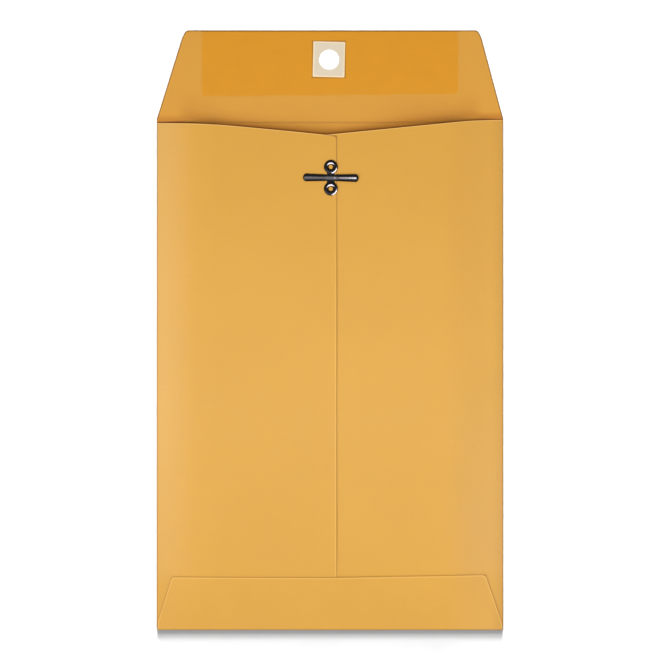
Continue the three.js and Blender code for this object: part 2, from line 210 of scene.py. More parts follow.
# Distance kept for a point that lies this far or further from a cut edge
FAR_FROM_EDGE = 50

# Points measured at a time
GAP_BLOCK = 2000

# Angle in degrees between two faces over which the edge between them stays sharp
PAPER_ANGLE = 35
METAL_ANGLE = 50

# Colours of the materials, as linear red, green and blue
KRAFT_MIDDLE = (0.733, 0.389, 0.066)
KRAFT_ENDS = (0.735, 0.373, 0.048)
# Painted sheen beside the pocket's left and right side folds
KRAFT_SHEEN_LEFT = (0.79, 0.443, 0.117)
KRAFT_SHEEN_RIGHT = (0.77, 0.425, 0.125)
# Kraft of the front's inside and the flap
KRAFT_FLAP = (0.744, 0.350, 0.041)
# Painted shade for lines at folds and cut edges, and painted highlights at the throat's edges and
# just inside cut edges
KRAFT_LINE_SHADE = (0.36, 0.15, 0.025)
KRAFT_THROAT_HIGHLIGHT = (1.0, 0.60, 0.17)
KRAFT_INNER_HIGHLIGHT = (0.95, 0.56, 0.15)
KRAFT_EDGE_SHADE = (0.26, 0.105, 0.012)
# Colours of the cut rim itself and of the gum
KRAFT_RIM = (0.50, 0.235, 0.045)
GUM_BROWN = (0.760, 0.310, 0.004)
# Painted shade along the gum's top edge
GUM_EDGE_SHADE = (0.26, 0.105, 0.008)
# The patch's paper and the painted highlight along its rim, then paste and steel
PATCH_PAPER = (0.80, 0.69, 0.52)
PATCH_EDGE_HIGHLIGHT = (1.0, 0.82, 0.54)
PASTE = (0.66, 0.47, 0.19)
STEEL = (0.026, 0.024, 0.026)

# Paper's gloss and the depth of its fibres in metres
PAPER_GLOSS = {"IOR": 1.45}
FIBRE_DEPTH = 0.00001

# Where along Y the pocket is palest, and where the painted sheen beside its folds fades out
PALEST_Y = -43
SHEEN_END = (-122, -112)

# How far off the pocket's lip its painted shade starts
LIP_SHADE_START = 0.15

# Floor and world: the floor's half size, its distance under the envelope, grey and added glow
FLOOR_REACH = 3000
FLOOR_GAP = 0.04
FLOOR_GREY = (0.305, 0.305, 0.305, 1)
FLOOR_GLOW = 0.04
WORLD_LEVEL = 0.60

# Height in metres that the clasp's lamps are aimed at
CLASP_LAMP_AIM = 0.006

# The camera looks straight down, and the photograph's frame is this wide on the floor
FRAME_WIDTH = 314.5
LENS = 300
SENSOR = 36


# Curves and flat outlines

def smooth(t):
    """An ease from 0 to 1 as t goes from 0 to 1, level at both ends."""
    s = np.clip(t, 0, 1)
    return s * s * (3 - 2 * s)


def line(start, end, count):
    """Points from start to end in equal steps, without the last one."""
    share = np.linspace(0, 1, count, endpoint=False)[:, None]
    return np.array(start) * (1 - share) + np.array(end) * share


def curve(start, control, end, count):
    """Points of a quadratic curve from start to end, without the last one."""
    t = np.linspace(0, 1, count, endpoint=False)[:, None]
    parts = np.array(start) * (1 - t) ** 2 + np.array(control) * 2 * t * (1 - t)
    return parts + np.array(end) * t ** 2


def circle(x, y, radius, count):
    turn = np.linspace(0, 2 * np.pi, count, endpoint=False)
    return np.stack([x + radius * np.cos(turn), y + radius * np.sin(turn)], axis=1)


def circle_part(y, radius, start, end):
    """Points of a part of a circle round (0, y), with both ends."""
    turn = np.linspace(start, end, EYELET_COUNT)
    return np.column_stack([radius * np.cos(turn), y + radius * np.sin(turn)])


def rounded(corners, spacing):
    """A closed outline of straight sides, with each corner [x, y, radius, lean] eased by a curve.

    A lean over 1 draws the curve out along the side before the corner.
    """
    places = [np.array(corner[:2], float) for corner in corners]
    parts = []
    for k, corner in enumerate(corners):
        radius = corner[2] if len(corner) > 2 else 0
        lean = corner[3] if len(corner) > 3 else 1
        before = places[k - 1] - places[k]
        after = places[(k + 1) % len(places)] - places[k]
        before /= np.linalg.norm(before)
        after /= np.linalg.norm(after)
        half_turn = math.acos(np.clip(before @ after, -1, 1)) / 2
        reach = radius / math.tan(half_turn)
        start = places[k] + before * reach * lean
        end = places[k] + after * reach / lean
        parts.append((start, places[k], end, radius))
    points = []
    for k, (start, corner, end, radius) in enumerate(parts):
        if radius:
            points.append(curve(start, corner, end, CORNER_COUNT))
        following = parts[(k + 1) % len(parts)][0]
        count = max(1, round(np.linalg.norm(following - end) / spacing))
        points.append(line(end, following, count))
    return np.concatenate(points)


def rectangle(left, foot, right, top, radius, spacing):
    corners = ((left, foot), (right, foot), (right, top), (left, top))
    return rounded([(x, y, radius) for x, y in corners], spacing)


def turned(x, y, angle):
    """A flat place turned clockwise round the origin."""
    return x * math.cos(angle) + y * math.sin(angle), y * math.cos(angle) - x * math.sin(angle)


def spread(low, high, step):
    """Numbers from low to high, both ends included, about one step apart."""
    return np.linspace(low, high, max(2, round((high - low) / step) + 1))


def grid(xs, ys):
    across, along = np.meshgrid(xs, ys, indexing="ij")
    return np.stack([across.ravel(), along.ravel()], axis=1)


def inside(points, loop):
    """Which points lie inside a closed loop."""
    x, y = points[:, 0][:, None], points[:, 1][:, None]
    x1, y1 = loop[:, 0], loop[:, 1]
    x2, y2 = np.roll(x1, -1), np.roll(y1, -1)
    spans = (y1 > y) != (y2 > y)
    rise = np.where(y2 == y1, 1, y2 - y1)
    crossing = x1 + (y - y1) * (x2 - x1) / rise
    return (spans & (x < crossing)).sum(axis=1) % 2 == 1


def gap_to(points, starts, ends):
    """Distance of each point from the nearest of many straight segments."""
    run = ends - starts
    length = np.maximum((run ** 2).sum(axis=1), 1e-12)
    nearest = np.full(len(points), np.inf)
    for k in range(0, len(points), GAP_BLOCK):
        offset = points[k:k + GAP_BLOCK, None, :] - starts[None]
        share = np.clip((offset * run).sum(axis=2) / length, 0, 1)
        off = offset - share[..., None] * run
        nearest[k:k + GAP_BLOCK] = np.sqrt((off ** 2).sum(axis=2)).min(axis=1)
    return nearest


def on_sheet(points, loops):
    """Which points lie inside an outline and outside its holes."""
    keep = inside(points, loops[0])
    for hole in loops[1:]:
        keep &= ~inside(points, hole)
    return keep


def segments(loops):
    """The two ends of every side of some closed loops."""
    return np.concatenate(loops), np.concatenate([np.roll(loop, -1, axis=0) for loop in loops])


def triangulate(loops, interior, clearance):
    """Triangles over the area between an outline and its holes, facing up."""
    starts, ends = segments(loops)
    interior = interior[on_sheet(interior, loops)]
    interior = interior[gap_to(interior, starts, ends) > clearance]
    points = np.concatenate([starts, interior])
    edges = []
    first = 0
    for loop in loops:
        count = len(loop)
        edges += [(first + k, first + (k + 1) % count) for k in range(count)]
        first += count
    # Output kind 0 fills the whole convex hull, and what lies off the sheet is dropped below
    found = delaunay_2d_cdt([tuple(p) for p in points], edges, [], 0, MERGE_GAP)
    flat = np.array([tuple(p) for p in found[0]])
    triangles = np.array([face for face in found[2] if len(face) == 3])
    triangles = triangles[on_sheet(flat[triangles].mean(axis=1), loops)]
    a, b, c = (flat[triangles[:, k]] for k in range(3))
    area = (b[:, 0] - a[:, 0]) * (c[:, 1] - a[:, 1]) - (b[:, 1] - a[:, 1]) * (c[:, 0] - a[:, 0])
    triangles[area < 0] = triangles[area < 0][:, ::-1]
    return flat, triangles[np.abs(area) > LEAST_AREA]


# Meshes

def new_object(name, points, faces):
    mesh = bpy.data.meshes.new(name)
    mesh.from_pydata([tuple(p) for p in np.asarray(points) * MM], [], faces)
    mesh.update()
    obj = bpy.data.objects.new(name, mesh)
    bpy.context.scene.collection.objects.link(obj)
    return obj


def keep_values(mesh, name, values):
    """Stores a number or a vector for each point of a mesh, for its material to read."""
    values = np.asarray(values, float)
    kind = "FLOAT" if values.ndim == 1 else "FLOAT_VECTOR"
    field = "value" if values.ndim == 1 else "vector"
    attribute = mesh.attributes.new(name, kind, "POINT")
    attribute.data.foreach_set(field, values.ravel())


def points_of(mesh):
    """The points of a mesh, as rows of x, y and z."""
    flat = np.zeros(3 * len(mesh.vertices))
    mesh.vertices.foreach_get("co", flat)
    return flat.reshape(-1, 3)


def shade_smooth(mesh, angle):
    mesh.polygons.foreach_set("use_smooth", [True] * len(mesh.polygons))
    mesh.set_sharp_from_angle(angle=math.radians(angle))
    mesh.update()


def sheet_piece(name, loops, interior, place, is_cut=None, clearance=0.4, angle=PAPER_ANGLE):
    """A closed sheet between two faces. place(x, y, gap, upper) gives the points of one face.

    gap is the distance from the nearest cut edge, and is_cut(x, y) says which edges are cut.
    """
    flat, triangles = triangulate(loops, interior, clearance)
    starts, ends = segments(loops)
    if is_cut is not None:
        cut = is_cut(*((starts + ends) / 2).T)
        starts, ends = starts[cut], ends[cut]
    gap = gap_to(flat, starts, ends)
    count = len(flat)
    lower = place(flat[:, 0], flat[:, 1], gap, False)
    upper = place(flat[:, 0], flat[:, 1], gap, True)
    faces = (triangles + count).tolist() + triangles[:, ::-1].tolist()
    faces += [(a, b, b + count, a + count) for a, b in rim_edges(triangles)]
    obj = new_object(name, np.concatenate([lower, upper]), faces)
    on_blank = np.column_stack([flat, np.zeros(count)])
    keep_values(obj.data, "from_edge", np.tile(np.minimum(gap, FAR_FROM_EDGE), 2))
    keep_values(obj.data, "on_blank", np.tile(on_blank, (2, 1)))
    shade_smooth(obj.data, angle)
    return obj


def rim_edges(triangles):
    """The edges that only one triangle has, in that triangle's direction."""
    edges = set()
    for a, b, c in triangles.tolist():
        edges.update(((a, b), (b, c), (c, a)))
    return [(a, b) for a, b in edges if (b, a) not in edges]


def dress(obj, material, rim_material=None):
    """Gives a piece its material, and another to its cut rim, whose faces have four corners."""
    mesh = obj.data
    mesh.materials.append(material)
    if rim_material is not None:
        mesh.materials.append(rim_material)
        corners = np.zeros(len(mesh.polygons), dtype=np.int32)
        mesh.polygons.foreach_get("loop_total", corners)
        mesh.polygons.foreach_set("material_index", (corners == 4).astype(np.int32))
        mesh.update()


def stack(x, y, z):
    return np.column_stack([x, y, np.broadcast_to(z, np.shape(x))])


# Shape of the folded envelope

def opened(x, y):
    """How far the pocket has opened, from 0 at a fold to 1 in the middle."""
    across = smooth((FOLD_X - np.abs(x)) / SIDE_SLOPE)
    along = smooth((y - PANEL_BOTTOM_Y) / BOTTOM_SLOPE)
    return across * along


def near_clasp(x, y):
    """1 under the clasp, easing to 0 some way off it."""
    off = np.hypot(x - CLASP_X, y - CLASP_Y)
    return 1 - smooth((off - CLASP_HOLD) / CLASP_HOLD_EASE)


def sway(x, y):
    """Slow waves of the loose sheets over the pocket, flat at the folds, throat and clasp."""
    waves = 0
    for height, across, along, phase in SHEET_WAVES:
        waves = waves + height * np.sin(x / across + y / along + phase)
    below_throat = smooth((CREASE_Y - THROAT_HOLD - y) / THROAT_HOLD_EASE)
    return waves * opened(x, y) * below_throat * (1 - near_clasp(x, y))


def lap_climb(x):
    """Climb of the left panel onto the right one, from 0 to 1 just before the lap."""
    return smooth((x - LAP_X + SEAM_RAMP) / (SEAM_RAMP - SEAT))


def right_under(x, y):
    return PANEL_FOOT + POCKET_RISE * opened(x, y) + sway(x, y)


def left_under(x, y):
    return right_under(x, y) + LAYER * lap_climb(x)


def bottom_flap_under(x, y):
    fall = 1 - smooth((x - SEAM_X - SEAT) / SEAM_FALL)
    start = smooth((y - BOTTOM_FOLD_Y) / (CORNER_RELIEF - SEAT))
    return right_under(x, y) + LAYER * (1 + np.minimum(lap_climb(x), fall) * start)


def seam_lift(x, y, gap):
    """Rise of the left panel's free edge where no glue, clasp or flap holds it down."""
    below_throat = smooth((CREASE_Y - SEAM_HELD_TOP - y) / SEAM_HELD_EASE)
    free = below_throat * smooth((y - BOTTOM_Y - SEAM_HELD_FOOT) / SEAM_HELD_EASE)
    along = 0.75 + 0.25 * np.sin(y / 17 + 1)
    near_edge = smooth((x - SEAM_X + SEAM_LIFT_REACH) / SEAM_LIFT_REACH)
    return SEAM_LIFT * along * near_edge * free * (1 - near_clasp(x, y))


def throat_y(side, x):
    """The top edge of a back panel."""
    bend = THROAT_BEND[side]
    reach = THROAT_BEND_REACH[side]
    slope = (THROAT_DIP[side] - THROAT_SHOULDER[side]) / bend
    shoulder = CREASE_Y - THROAT_SHOULDER[side]
    run = side * np.asarray(x, float)
    start = bend - reach
    t = np.clip((run - start) / (2 * reach), 0, 1)
    straight = CREASE_Y - THROAT_DIP[side] + slope * np.minimum(run, start)
    bulge = THROAT_BULGE[side] * np.sin(np.pi * np.clip(run / bend, 0, 1))
    return straight * (1 - t) ** 2 + shoulder * (1 - (1 - t) ** 2) + bulge


def lip_y(x):
    """The pocket's lip as it shows from above, where the two back panels overlap too."""
    left = np.where(x <= SEAM_X, throat_y(-1, x), -np.inf)
    right = np.where(x >= LAP_X, throat_y(1, x), -np.inf)
    return np.maximum(left, right)


def lip_shade(x, y):
    """Painted shade and glow just beyond the lip, which lies close over it: how bright and warm.
    """
    gap = np.maximum(y - lip_y(x) - LIP_SHADE_START, 0)
    # Painted shade: a dark line where the lip lies closest
    contact_depth = 0.52 - 0.22 * smooth((x - 50) / 20)
    contact = 1 - contact_depth * (1 - smooth((gap - 0.35) / 0.6))
    in_middle = 1 - smooth((np.abs(x) - 45) / 12)
    on_left = smooth((-44 - x) / 8) * smooth((x + 72) / 8)
    # Painted light: a glow that brightens the paper close beyond the lip
    glow = 1 + 0.15 * in_middle * np.exp(-((gap - 1.4) / 0.9) ** 2)
    glow = glow + 0.2 * on_left * np.exp(-((gap - 0.9) / 0.45) ** 2)
    # Painted shade spreading further beyond the lip, and wider beside the folds
    inner_depth = 0.28 * smooth((-42 - x) / 26) + 0.26 * smooth((x - 12) / 36)
    inner = 1 - inner_depth * smooth((gap - 0.9) / 2) * np.exp(-np.maximum(gap - 3, 0) / 5)
    fold_depth = np.where(x < 0, 0.28, 0.34)
    beside_fold = 1 - fold_depth * (1 - smooth((gap - 1.2) / 3.5))
    near_fold = smooth((np.abs(x) - 67) / 7)
    bright = contact * glow * (inner + (beside_fold - inner) * near_fold)
    warm = np.exp(-np.maximum(gap - 1.5, 0) / 2.5) * (0.5 + 0.5 * in_middle)
    return bright, warm


def flap_wave(x, y):
    """The open flap lies flat but for a slight spring in its paper."""
    rise = smooth((y - CREASE_Y - 6) / 24)
    waves = 0.06 + 0.05 * np.sin(x / 19 + 1.3) + 0.04 * np.sin(y / 11 - x / 33)
    return np.maximum(rise * waves, 0)


# Paper

def panel_outline(side, free_x):
    """A back panel drawn flat, from its free edge out past the side fold."""
    foot = PANEL_BOTTOM_Y
    top = float(throat_y(side, side * FOLD_X))
    fold_x = side * FOLD_X
    end_x = side * (FOLD_X + SIDE_ARC)
    corner_y = float(throat_y(side, free_x))
    inner_x = free_x + side * PANEL_CORNER
    across = max(2, round(abs(fold_x - free_x) / PAPER_STEP))
    xs = np.linspace(fold_x, inner_x, 2 * across, endpoint=False)
    return np.concatenate([
        line((free_x, foot), (fold_x, foot), across),
        line((fold_x, foot), (end_x, foot), FOLD_COUNT),
        line((end_x, foot), (end_x, top), round((top - foot) / PAPER_STEP)),
        line((end_x, top), (fold_x, top), FOLD_COUNT),
        np.column_stack([xs, throat_y(side, xs)]),
        curve(
            (inner_x, float(throat_y(side, inner_x))),
            (free_x, corner_y),
            (free_x, corner_y - PANEL_CORNER),
            CORNER_COUNT,
        ),
        line((free_x, corner_y - PANEL_CORNER), (free_x, foot), round((top - foot) / PAPER_STEP)),
    ])


def panel_interior(side, free_x):
    near_edge = free_x + side * np.array(EDGE_ROWS)
    sheet = side * spread(side * (free_x + side * EVEN_ROWS_START), FOLD_X, PAPER_STEP)
    fold = side * (FOLD_X + np.linspace(0, SIDE_ARC, FOLD_COUNT + 1)[1:-1])
    xs = np.concatenate([near_edge, sheet, fold])
    return grid(xs, spread(PANEL_BOTTOM_Y, CREASE_Y + 1, PAPER_STEP))


def round_fold(past, arc, radius):
    """How far out and up from a fold's axis the sheet lies, some way past the fold's start."""
    turn = np.pi / 2 - past / (arc / np.pi)
    return radius * np.cos(turn), radius * np.sin(turn)


def panel_place(side, under, lift):
    """Puts a flat back panel over the pocket and round its side fold."""
    def place(x, y, gap, upper):
        thick = PAPER if upper else 0
        past = np.maximum(side * x - FOLD_X, 0)
        out, up = round_fold(past, SIDE_ARC, FOLD_GAP / 2 + thick)
        flat_z = under(x, y) + lift(x, y, gap) + thick
        x = np.where(past > 0, side * (FOLD_X + out), x)
        return stack(x, y, np.where(past > 0, FOLD_RADIUS + up, flat_z))
    return place


def panel_cut(side):
    """The free edge and the throat are cut, and the fold and the foot aren't."""
    def is_cut(x, y):
        return (side * x < FOLD_X - EDGE_MARGIN) & (y > PANEL_BOTTOM_Y + EDGE_MARGIN)
    return is_cut


def eyelet_holes():
    return [circle(CLASP_X, CLASP_Y + y, EYELET_HOLE, EYELET_COUNT) for y in EYELET_PLACES]


def no_lift(x, y, gap):
    return 0


def make_back_panel(name, side, free_x, under, lift):
    loops = [panel_outline(side, free_x), *eyelet_holes()]
    place = panel_place(side, under, lift)
    interior = panel_interior(side, free_x)
    return sheet_piece(name, loops, interior, place, panel_cut(side), FINE_CLEARANCE)


def bottom_flap_corners(side_inset, end_inset, foot):
    """The bottom flap's outline, drawn in from its sides and its two ends."""
    edge_x = FOLD_X - side_inset
    corners = [[-edge_x, foot], [edge_x, foot]]
    for side in (1, -1):
        shoulder = BOTTOM_Y + max(BOTTOM_FLAP_SHOULDER[side], end_inset + foot - BOTTOM_Y)
        top_x = HALF_WIDTH - BOTTOM_FLAP_INSET[side] - side_inset
        top_y = BOTTOM_Y + BOTTOM_FLAP_HEIGHT[side] - end_inset
        pair = [[side * edge_x, shoulder], [side * top_x, top_y, BOTTOM_FLAP_CORNER]]
        corners += pair if side > 0 else pair[::-1]
        if side > 0:
            corners.append([0, BOTTOM_Y + BOTTOM_FLAP_MIDDLE - end_inset])
    return corners


def bottom_flap_outline():
    """The bottom flap drawn flat, on past its fold."""
    whole = rounded(bottom_flap_corners(0, 0, BOTTOM_FOLD_Y), 1)
    foot = whole[:, 1] < BOTTOM_FOLD_Y + 1e-6
    free = whole[~foot]
    start = int(np.argmax(free[:, 0] > FOLD_X - 1e-6))
    free = np.roll(free, -start, axis=0)
    end_y = BOTTOM_FOLD_Y - BOTTOM_ARC
    return np.concatenate([
        line((-FOLD_X, end_y), (FOLD_X, end_y), round(2 * FOLD_X / PAPER_STEP)),
        line((FOLD_X, end_y), (FOLD_X, BOTTOM_FOLD_Y), FOLD_COUNT),
        [(FOLD_X, BOTTOM_FOLD_Y)],
        free,
        line((-FOLD_X, BOTTOM_FOLD_Y), (-FOLD_X, end_y), FOLD_COUNT),
    ])


def bottom_flap_place(x, y, gap, upper):
    """Puts the flat bottom flap round the bottom fold and over both back panels."""
    thick = PAPER if upper else 0
    past = np.maximum(BOTTOM_FOLD_Y - y, 0)
    out, up = round_fold(past, BOTTOM_ARC, BOTTOM_RADIUS - PAPER + thick)
    spring = 0.7 + 0.3 * np.sin(x / 21 + 0.4)
    held = smooth((y - BOTTOM_FOLD_Y - 4) / 8)
    lift = FLAP_EDGE_LIFT * spring * held * smooth(1 - gap / FLAP_EDGE_REACH)
    flat_z = bottom_flap_under(x, y) + lift + thick
    y = np.where(past > 0, BOTTOM_FOLD_Y - out, y)
    return stack(x, y, np.where(past > 0, BOTTOM_RADIUS + up, flat_z))


def bottom_flap_cut(x, y):
    """All of the bottom flap's edges are cut but those that go round its fold."""
    return y > BOTTOM_FOLD_Y + 0.5


def make_bottom_flap():
    xs = spread(-FOLD_X, FOLD_X, PAPER_STEP)
    fold = BOTTOM_FOLD_Y - np.linspace(0, BOTTOM_ARC, FOLD_COUNT + 1)[1:-1]
    foot = BOTTOM_FOLD_Y + np.linspace(0, CORNER_RELIEF, 4)
    top = BOTTOM_Y + BOTTOM_FLAP_HEIGHT[1]
    ys = np.concatenate([fold, foot, spread(PANEL_BOTTOM_Y + 1, top, 1)])
    loops = [bottom_flap_outline()]
    place, is_cut = bottom_flap_place, bottom_flap_cut
    return sheet_piece("kraft_bottom_flap", loops, grid(xs, ys), place, is_cut, FINE_CLEARANCE)


def front_outline():
    """The front panel between the side folds, and the full width of the flap beyond them."""
    foot = BOTTOM_FOLD_Y
    run = FLAP_DEPTH - FLAP_SHOULDER
    edge_x = FOLD_X - SEAT / 2
    corners = [[-edge_x, foot], [edge_x, foot]]
    for side in (1, -1):
        notch_y = float(throat_y(side, side * FOLD_X)) + SEAT
        lean = FLAP_CORNER_LEAN ** side
        part = [
            [side * edge_x, notch_y],
            [side * (HALF_WIDTH - SEAT), notch_y + 0.3],
            [side * (HALF_WIDTH - SEAT), SHOULDER_Y],
            [side * (HALF_WIDTH - run * FLAP_TAPER[side]), TIP_Y, FLAP_CORNER, lean],
        ]
        corners += part if side > 0 else part[::-1]
    return rounded(corners, PAPER_STEP)


def front_place(x, y, gap, upper):
    return stack(x, y, flap_wave(x, y) + (PAPER if upper else 0))


def flap_cut(x, y):
    """The flap's edges are cut, and the front's go on into the folds."""
    return y > SHOULDER_Y + 0.3


def front_interior():
    """Grid points of the front and flap, in fine rows that follow the lip of the pocket."""
    xs = spread(-FOLD_X, FOLD_X, PAPER_STEP)
    body = grid(xs[::2], spread(BOTTOM_FOLD_Y, CREASE_Y - 9, 2 * PAPER_STEP))
    rows = np.concatenate([np.arange(-0.4, 1.7, 0.2), np.arange(2, 12, 0.4)])
    near_lip = [np.column_stack([xs, lip_y(xs) + row]) for row in rows]
    flap = grid(xs, spread(CREASE_Y + 14, TIP_Y, PAPER_STEP))
    return np.concatenate([body, *near_lip, flap])


def make_front_and_flap():
    loops = [front_outline(), circle(HOLE_X, HOLE_Y, HOLE_RADIUS, HOLE_COUNT)]
    obj = sheet_piece("kraft_front_and_flap", loops, front_interior(), front_place, flap_cut, 0.3)
    points = points_of(obj.data) / MM
    # Painted shade beyond the pocket's lip, and its warmth, kept on each point for the material
    bright, warm = lip_shade(points[:, 0], points[:, 1])
    keep_values(obj.data, "lip_shade", bright)
    keep_values(obj.data, "lip_shade_warmth", warm)
    return obj


def make_gum():
    """A dried film of gum, with a soft wavering edge and a slight bead along it."""
    bottom = PAPER + SEAT
    half = GUM_WIDTH / 2 + GUM_BLEED
    foot = TIP_Y - GUM_DEPTH - GUM_BLEED
    corners = [
        [-half, foot + GUM_FOOT_RISE[-1], 1.2],
        [half, foot + GUM_FOOT_RISE[1], 1.2],
        [half, TIP_Y - SEAT],
        [-half, TIP_Y - SEAT],
    ]
    outline = rounded(corners, 1.2)
    inner = outline[:, 1] < TIP_Y - 1
    waver = 0.08 * np.sin(outline[:, 0] / 5.1) + 0.05 * np.sin(outline[:, 0] / 2.3 + 1)
    outline[:, 1] += np.where(inner & (np.abs(outline[:, 0]) < half - 2), waver, 0)
    hole = circle(HOLE_X, HOLE_Y, HOLE_RADIUS + 0.05, HOLE_COUNT)

    def place(x, y, gap, upper):
        bead = 0.6 + 0.4 * np.exp(-((gap - 0.7) / 0.6) ** 2)
        thick = GUM_THICKNESS * bead if upper else 0
        return stack(x, y, bottom + thick + flap_wave(x, y))

    interior = grid(spread(-half, half, PAPER_STEP), spread(foot, TIP_Y, 1.5))
    return sheet_piece("gum_film", [outline, hole], interior, place, clearance=0.3)


def make_patch():
    """The off-white patch, with softly pressed edges."""
    bottom = PAPER + SEAT + GUM_THICKNESS + SEAT
    w, l = PATCH_WIDTH / 2, PATCH_LENGTH / 2
    outline = rectangle(-w, -l, w, l, PATCH_CORNER, 0.6) + PATCH_OFF_HOLE

    def place(x, y, gap, upper):
        pressed = smooth(gap / 0.5)
        thick = PATCH_THICKNESS * (0.6 + 0.4 * pressed) if upper else 0
        x, y = turned(x, y, -PATCH_TURN)
        x, y = HOLE_X + x, HOLE_Y + y
        return stack(x, y, bottom + thick + flap_wave(x, y))

    def is_outer(x, y):
        return np.hypot(x, y) > HOLE_RADIUS + 0.5

    interior = grid(spread(-w, w, 0.5), spread(-l, l, 0.5))
    loops = [outline, circle(0, 0, HOLE_RADIUS, HOLE_COUNT)]
    return sheet_piece("hole_patch", loops, interior, place, is_outer, 0.2)


# Glue

def film_place(under, over):
    def place(x, y, gap, upper):
        z = over(x, y) - SEAT if upper else under(x, y) + PAPER + SEAT
        return stack(x, y, z)
    return place


def make_seam_glue():
    left, right = LAP_X + SEAM_GLUE_INSET, SEAM_X - SEAM_GLUE_INSET
    foot = PANEL_BOTTOM_Y + BOTTOM_GLUE_END_INSET
    top = CREASE_Y - THROAT_DIP[-1] - 2 * SEAM_GLUE_INSET
    outline = rectangle(left, foot, right, top, 2, 2)
    interior = grid(spread(left, right, 1.5), spread(foot, top, PAPER_STEP))
    place = film_place(right_under, left_under)
    return sheet_piece("glue_seam", [outline, *eyelet_holes()], interior, place)


def make_bottom_glue(name, side, under):
    """The glue under one side of the bottom flap, up to the free edge of the left panel."""
    foot = PANEL_BOTTOM_Y + BOTTOM_GLUE_END_INSET
    top = BOTTOM_Y + BOTTOM_FLAP_MIDDLE - BOTTOM_GLUE_END_INSET
    corners = bottom_flap_corners(BOTTOM_GLUE_SIDE_INSET, BOTTOM_GLUE_END_INSET, foot)
    outer = [corner for corner in corners[1:] + corners[:1] if side * corner[0] > 1]
    edge = SEAM_X + side * SEAM_GLUE_INSET
    inner = [[edge, top], [edge, foot]]
    outline = rounded(outer + inner[::side], 1.5)
    interior = grid(spread(-FOLD_X, FOLD_X, PAPER_STEP), spread(foot, top + 2, 1.5))
    return sheet_piece(name, [outline], interior, film_place(under, bottom_flap_under))


# Clasp

def ring_height(r):
    """Height of an eyelet's domed rim, from its outer edge up to the crest."""
    outer = np.sqrt(np.clip((EYELET_RIM - r) / (EYELET_RIM - EYELET_CREST_RADIUS), 0, 1))
    return np.where(r < EYELET_RIM, EYELET_CREST - (EYELET_CREST - SEAT) * (1 - outer) ** 2, 0)


def band_height(x):
    """The flat band between the eyelets, rounded along its two sides."""
    edge = np.clip((BAND_WIDTH / 2 - np.abs(x)) / 0.3, 0, 1)
    return METAL * np.sqrt(1 - (1 - edge) ** 2)


def base_outline():
    """Two round eyelets joined by the band, with small fillets in the four corners."""
    half = BAND_WIDTH / 2
    centre = EYELET_SPACING / 2
    meet = math.asin(half / EYELET_RIM)
    start = meet + FILLET_TURN - math.pi / 2
    rim = circle_part(centre, EYELET_RIM, start, math.pi - start)
    corner = (-half, centre - EYELET_RIM * math.cos(meet))
    after = (-half, corner[1] - FILLET)
    side = np.concatenate([
        rim,
        curve(rim[-1], corner, after, CORNER_COUNT)[1:],
        line(after, (-half, -after[1]), 12),
        curve((-half, -after[1]), (-half, -corner[1]), -rim[0], CORNER_COUNT),
    ])
    return np.concatenate([side, -side])


def base_interior():
    """A fine grid over the band, and rings of points round each eyelet beyond it."""
    points = [grid(np.linspace(-1.75, 1.75, 30), np.linspace(-2.6, 2.6, 44))]
    for y in EYELET_PLACES:
        for radius in np.linspace(EYELET_CREST_RADIUS + SEAT, EYELET_RIM, 14)[1:-1]:
            ring = circle(0, y, radius, EYELET_COUNT)
            points.append(ring[np.abs(ring[:, 1]) > 2.62])
    return np.concatenate(points)


def on_clasp(x, y, z):
    """Points given from the middle of the clasp, and up from the panel under it."""
    return stack(CLASP_X + x, CLASP_Y + y, PANEL_TOP + z)


def base_place(x, y, gap, upper):
    if not upper:
        return on_clasp(x, y, SEAT)
    height = band_height(x)
    for centre in EYELET_PLACES:
        height = np.maximum(height, ring_height(np.hypot(x, y - centre)))
    return on_clasp(x, y, np.maximum(height, LEAST_METAL))


def rib_place(x, y, gap, upper):
    if not upper:
        return on_clasp(x, y, METAL + SEAT / 4)
    return on_clasp(x, y, (METAL + RIB_HEIGHT) * np.sqrt(1 - (y / RIB_HALF_WIDTH) ** 2))


def make_rib():
    """The rib pressed up across the band, from the root of one prong to the other."""
    x, y = BAND_WIDTH / 2 - 0.05, 0.85 * RIB_HALF_WIDTH
    outline = rectangle(-x, -y, x, y, 0, 0.15)
    interior = grid(spread(-x, x, 0.15), spread(-y, y, 0.1))
    return sheet_piece("clasp_rib", [outline], interior, rib_place, None, 0.03, METAL_ANGLE)


def lathe(profile, count):
    """Points and faces of a closed profile of (radius, height) turned round the upright axis."""
    turn = np.linspace(0, 2 * np.pi, count, endpoint=False)
    points = []
    for radius, height in profile:
        ring = [radius * np.cos(turn), radius * np.sin(turn), np.full(count, height)]
        points.append(np.column_stack(ring))
    faces = []
    for i in range(len(profile)):
        this, following = i * count, (i + 1) % len(profile) * count
        for j in range(count):
            k = (j + 1) % count
            faces.append((this + j, this + k, following + k, following + j))
    return np.concatenate(points), faces


def barrel_profile():
    """An eyelet from its crest down the bore to the curl that is clinched inside the pocket."""
    inside_z = -(PAPER + LAYER) - SEAT
    wall_x = EYELET_BORE + EYELET_WALL
    curl_z = inside_z - EYELET_WALL
    middle = (EYELET_BORE + EYELET_WALL + EYELET_CURL) / 2
    crest = (EYELET_CREST_RADIUS, EYELET_CREST)
    return np.concatenate([
        curve(crest, (wall_x, EYELET_CREST), (EYELET_BORE, SEAT), 3 * CORNER_COUNT),
        [(EYELET_BORE, SEAT)],
        curve((EYELET_BORE, inside_z), (EYELET_BORE, curl_z), (middle, curl_z), CORNER_COUNT),
        curve((middle, curl_z), (EYELET_CURL, curl_z), (EYELET_CURL, inside_z), CORNER_COUNT),
        [(EYELET_CURL, inside_z), (wall_x, inside_z)],
        [(wall_x, SEAT), (EYELET_CREST_RADIUS, SEAT)],
    ])


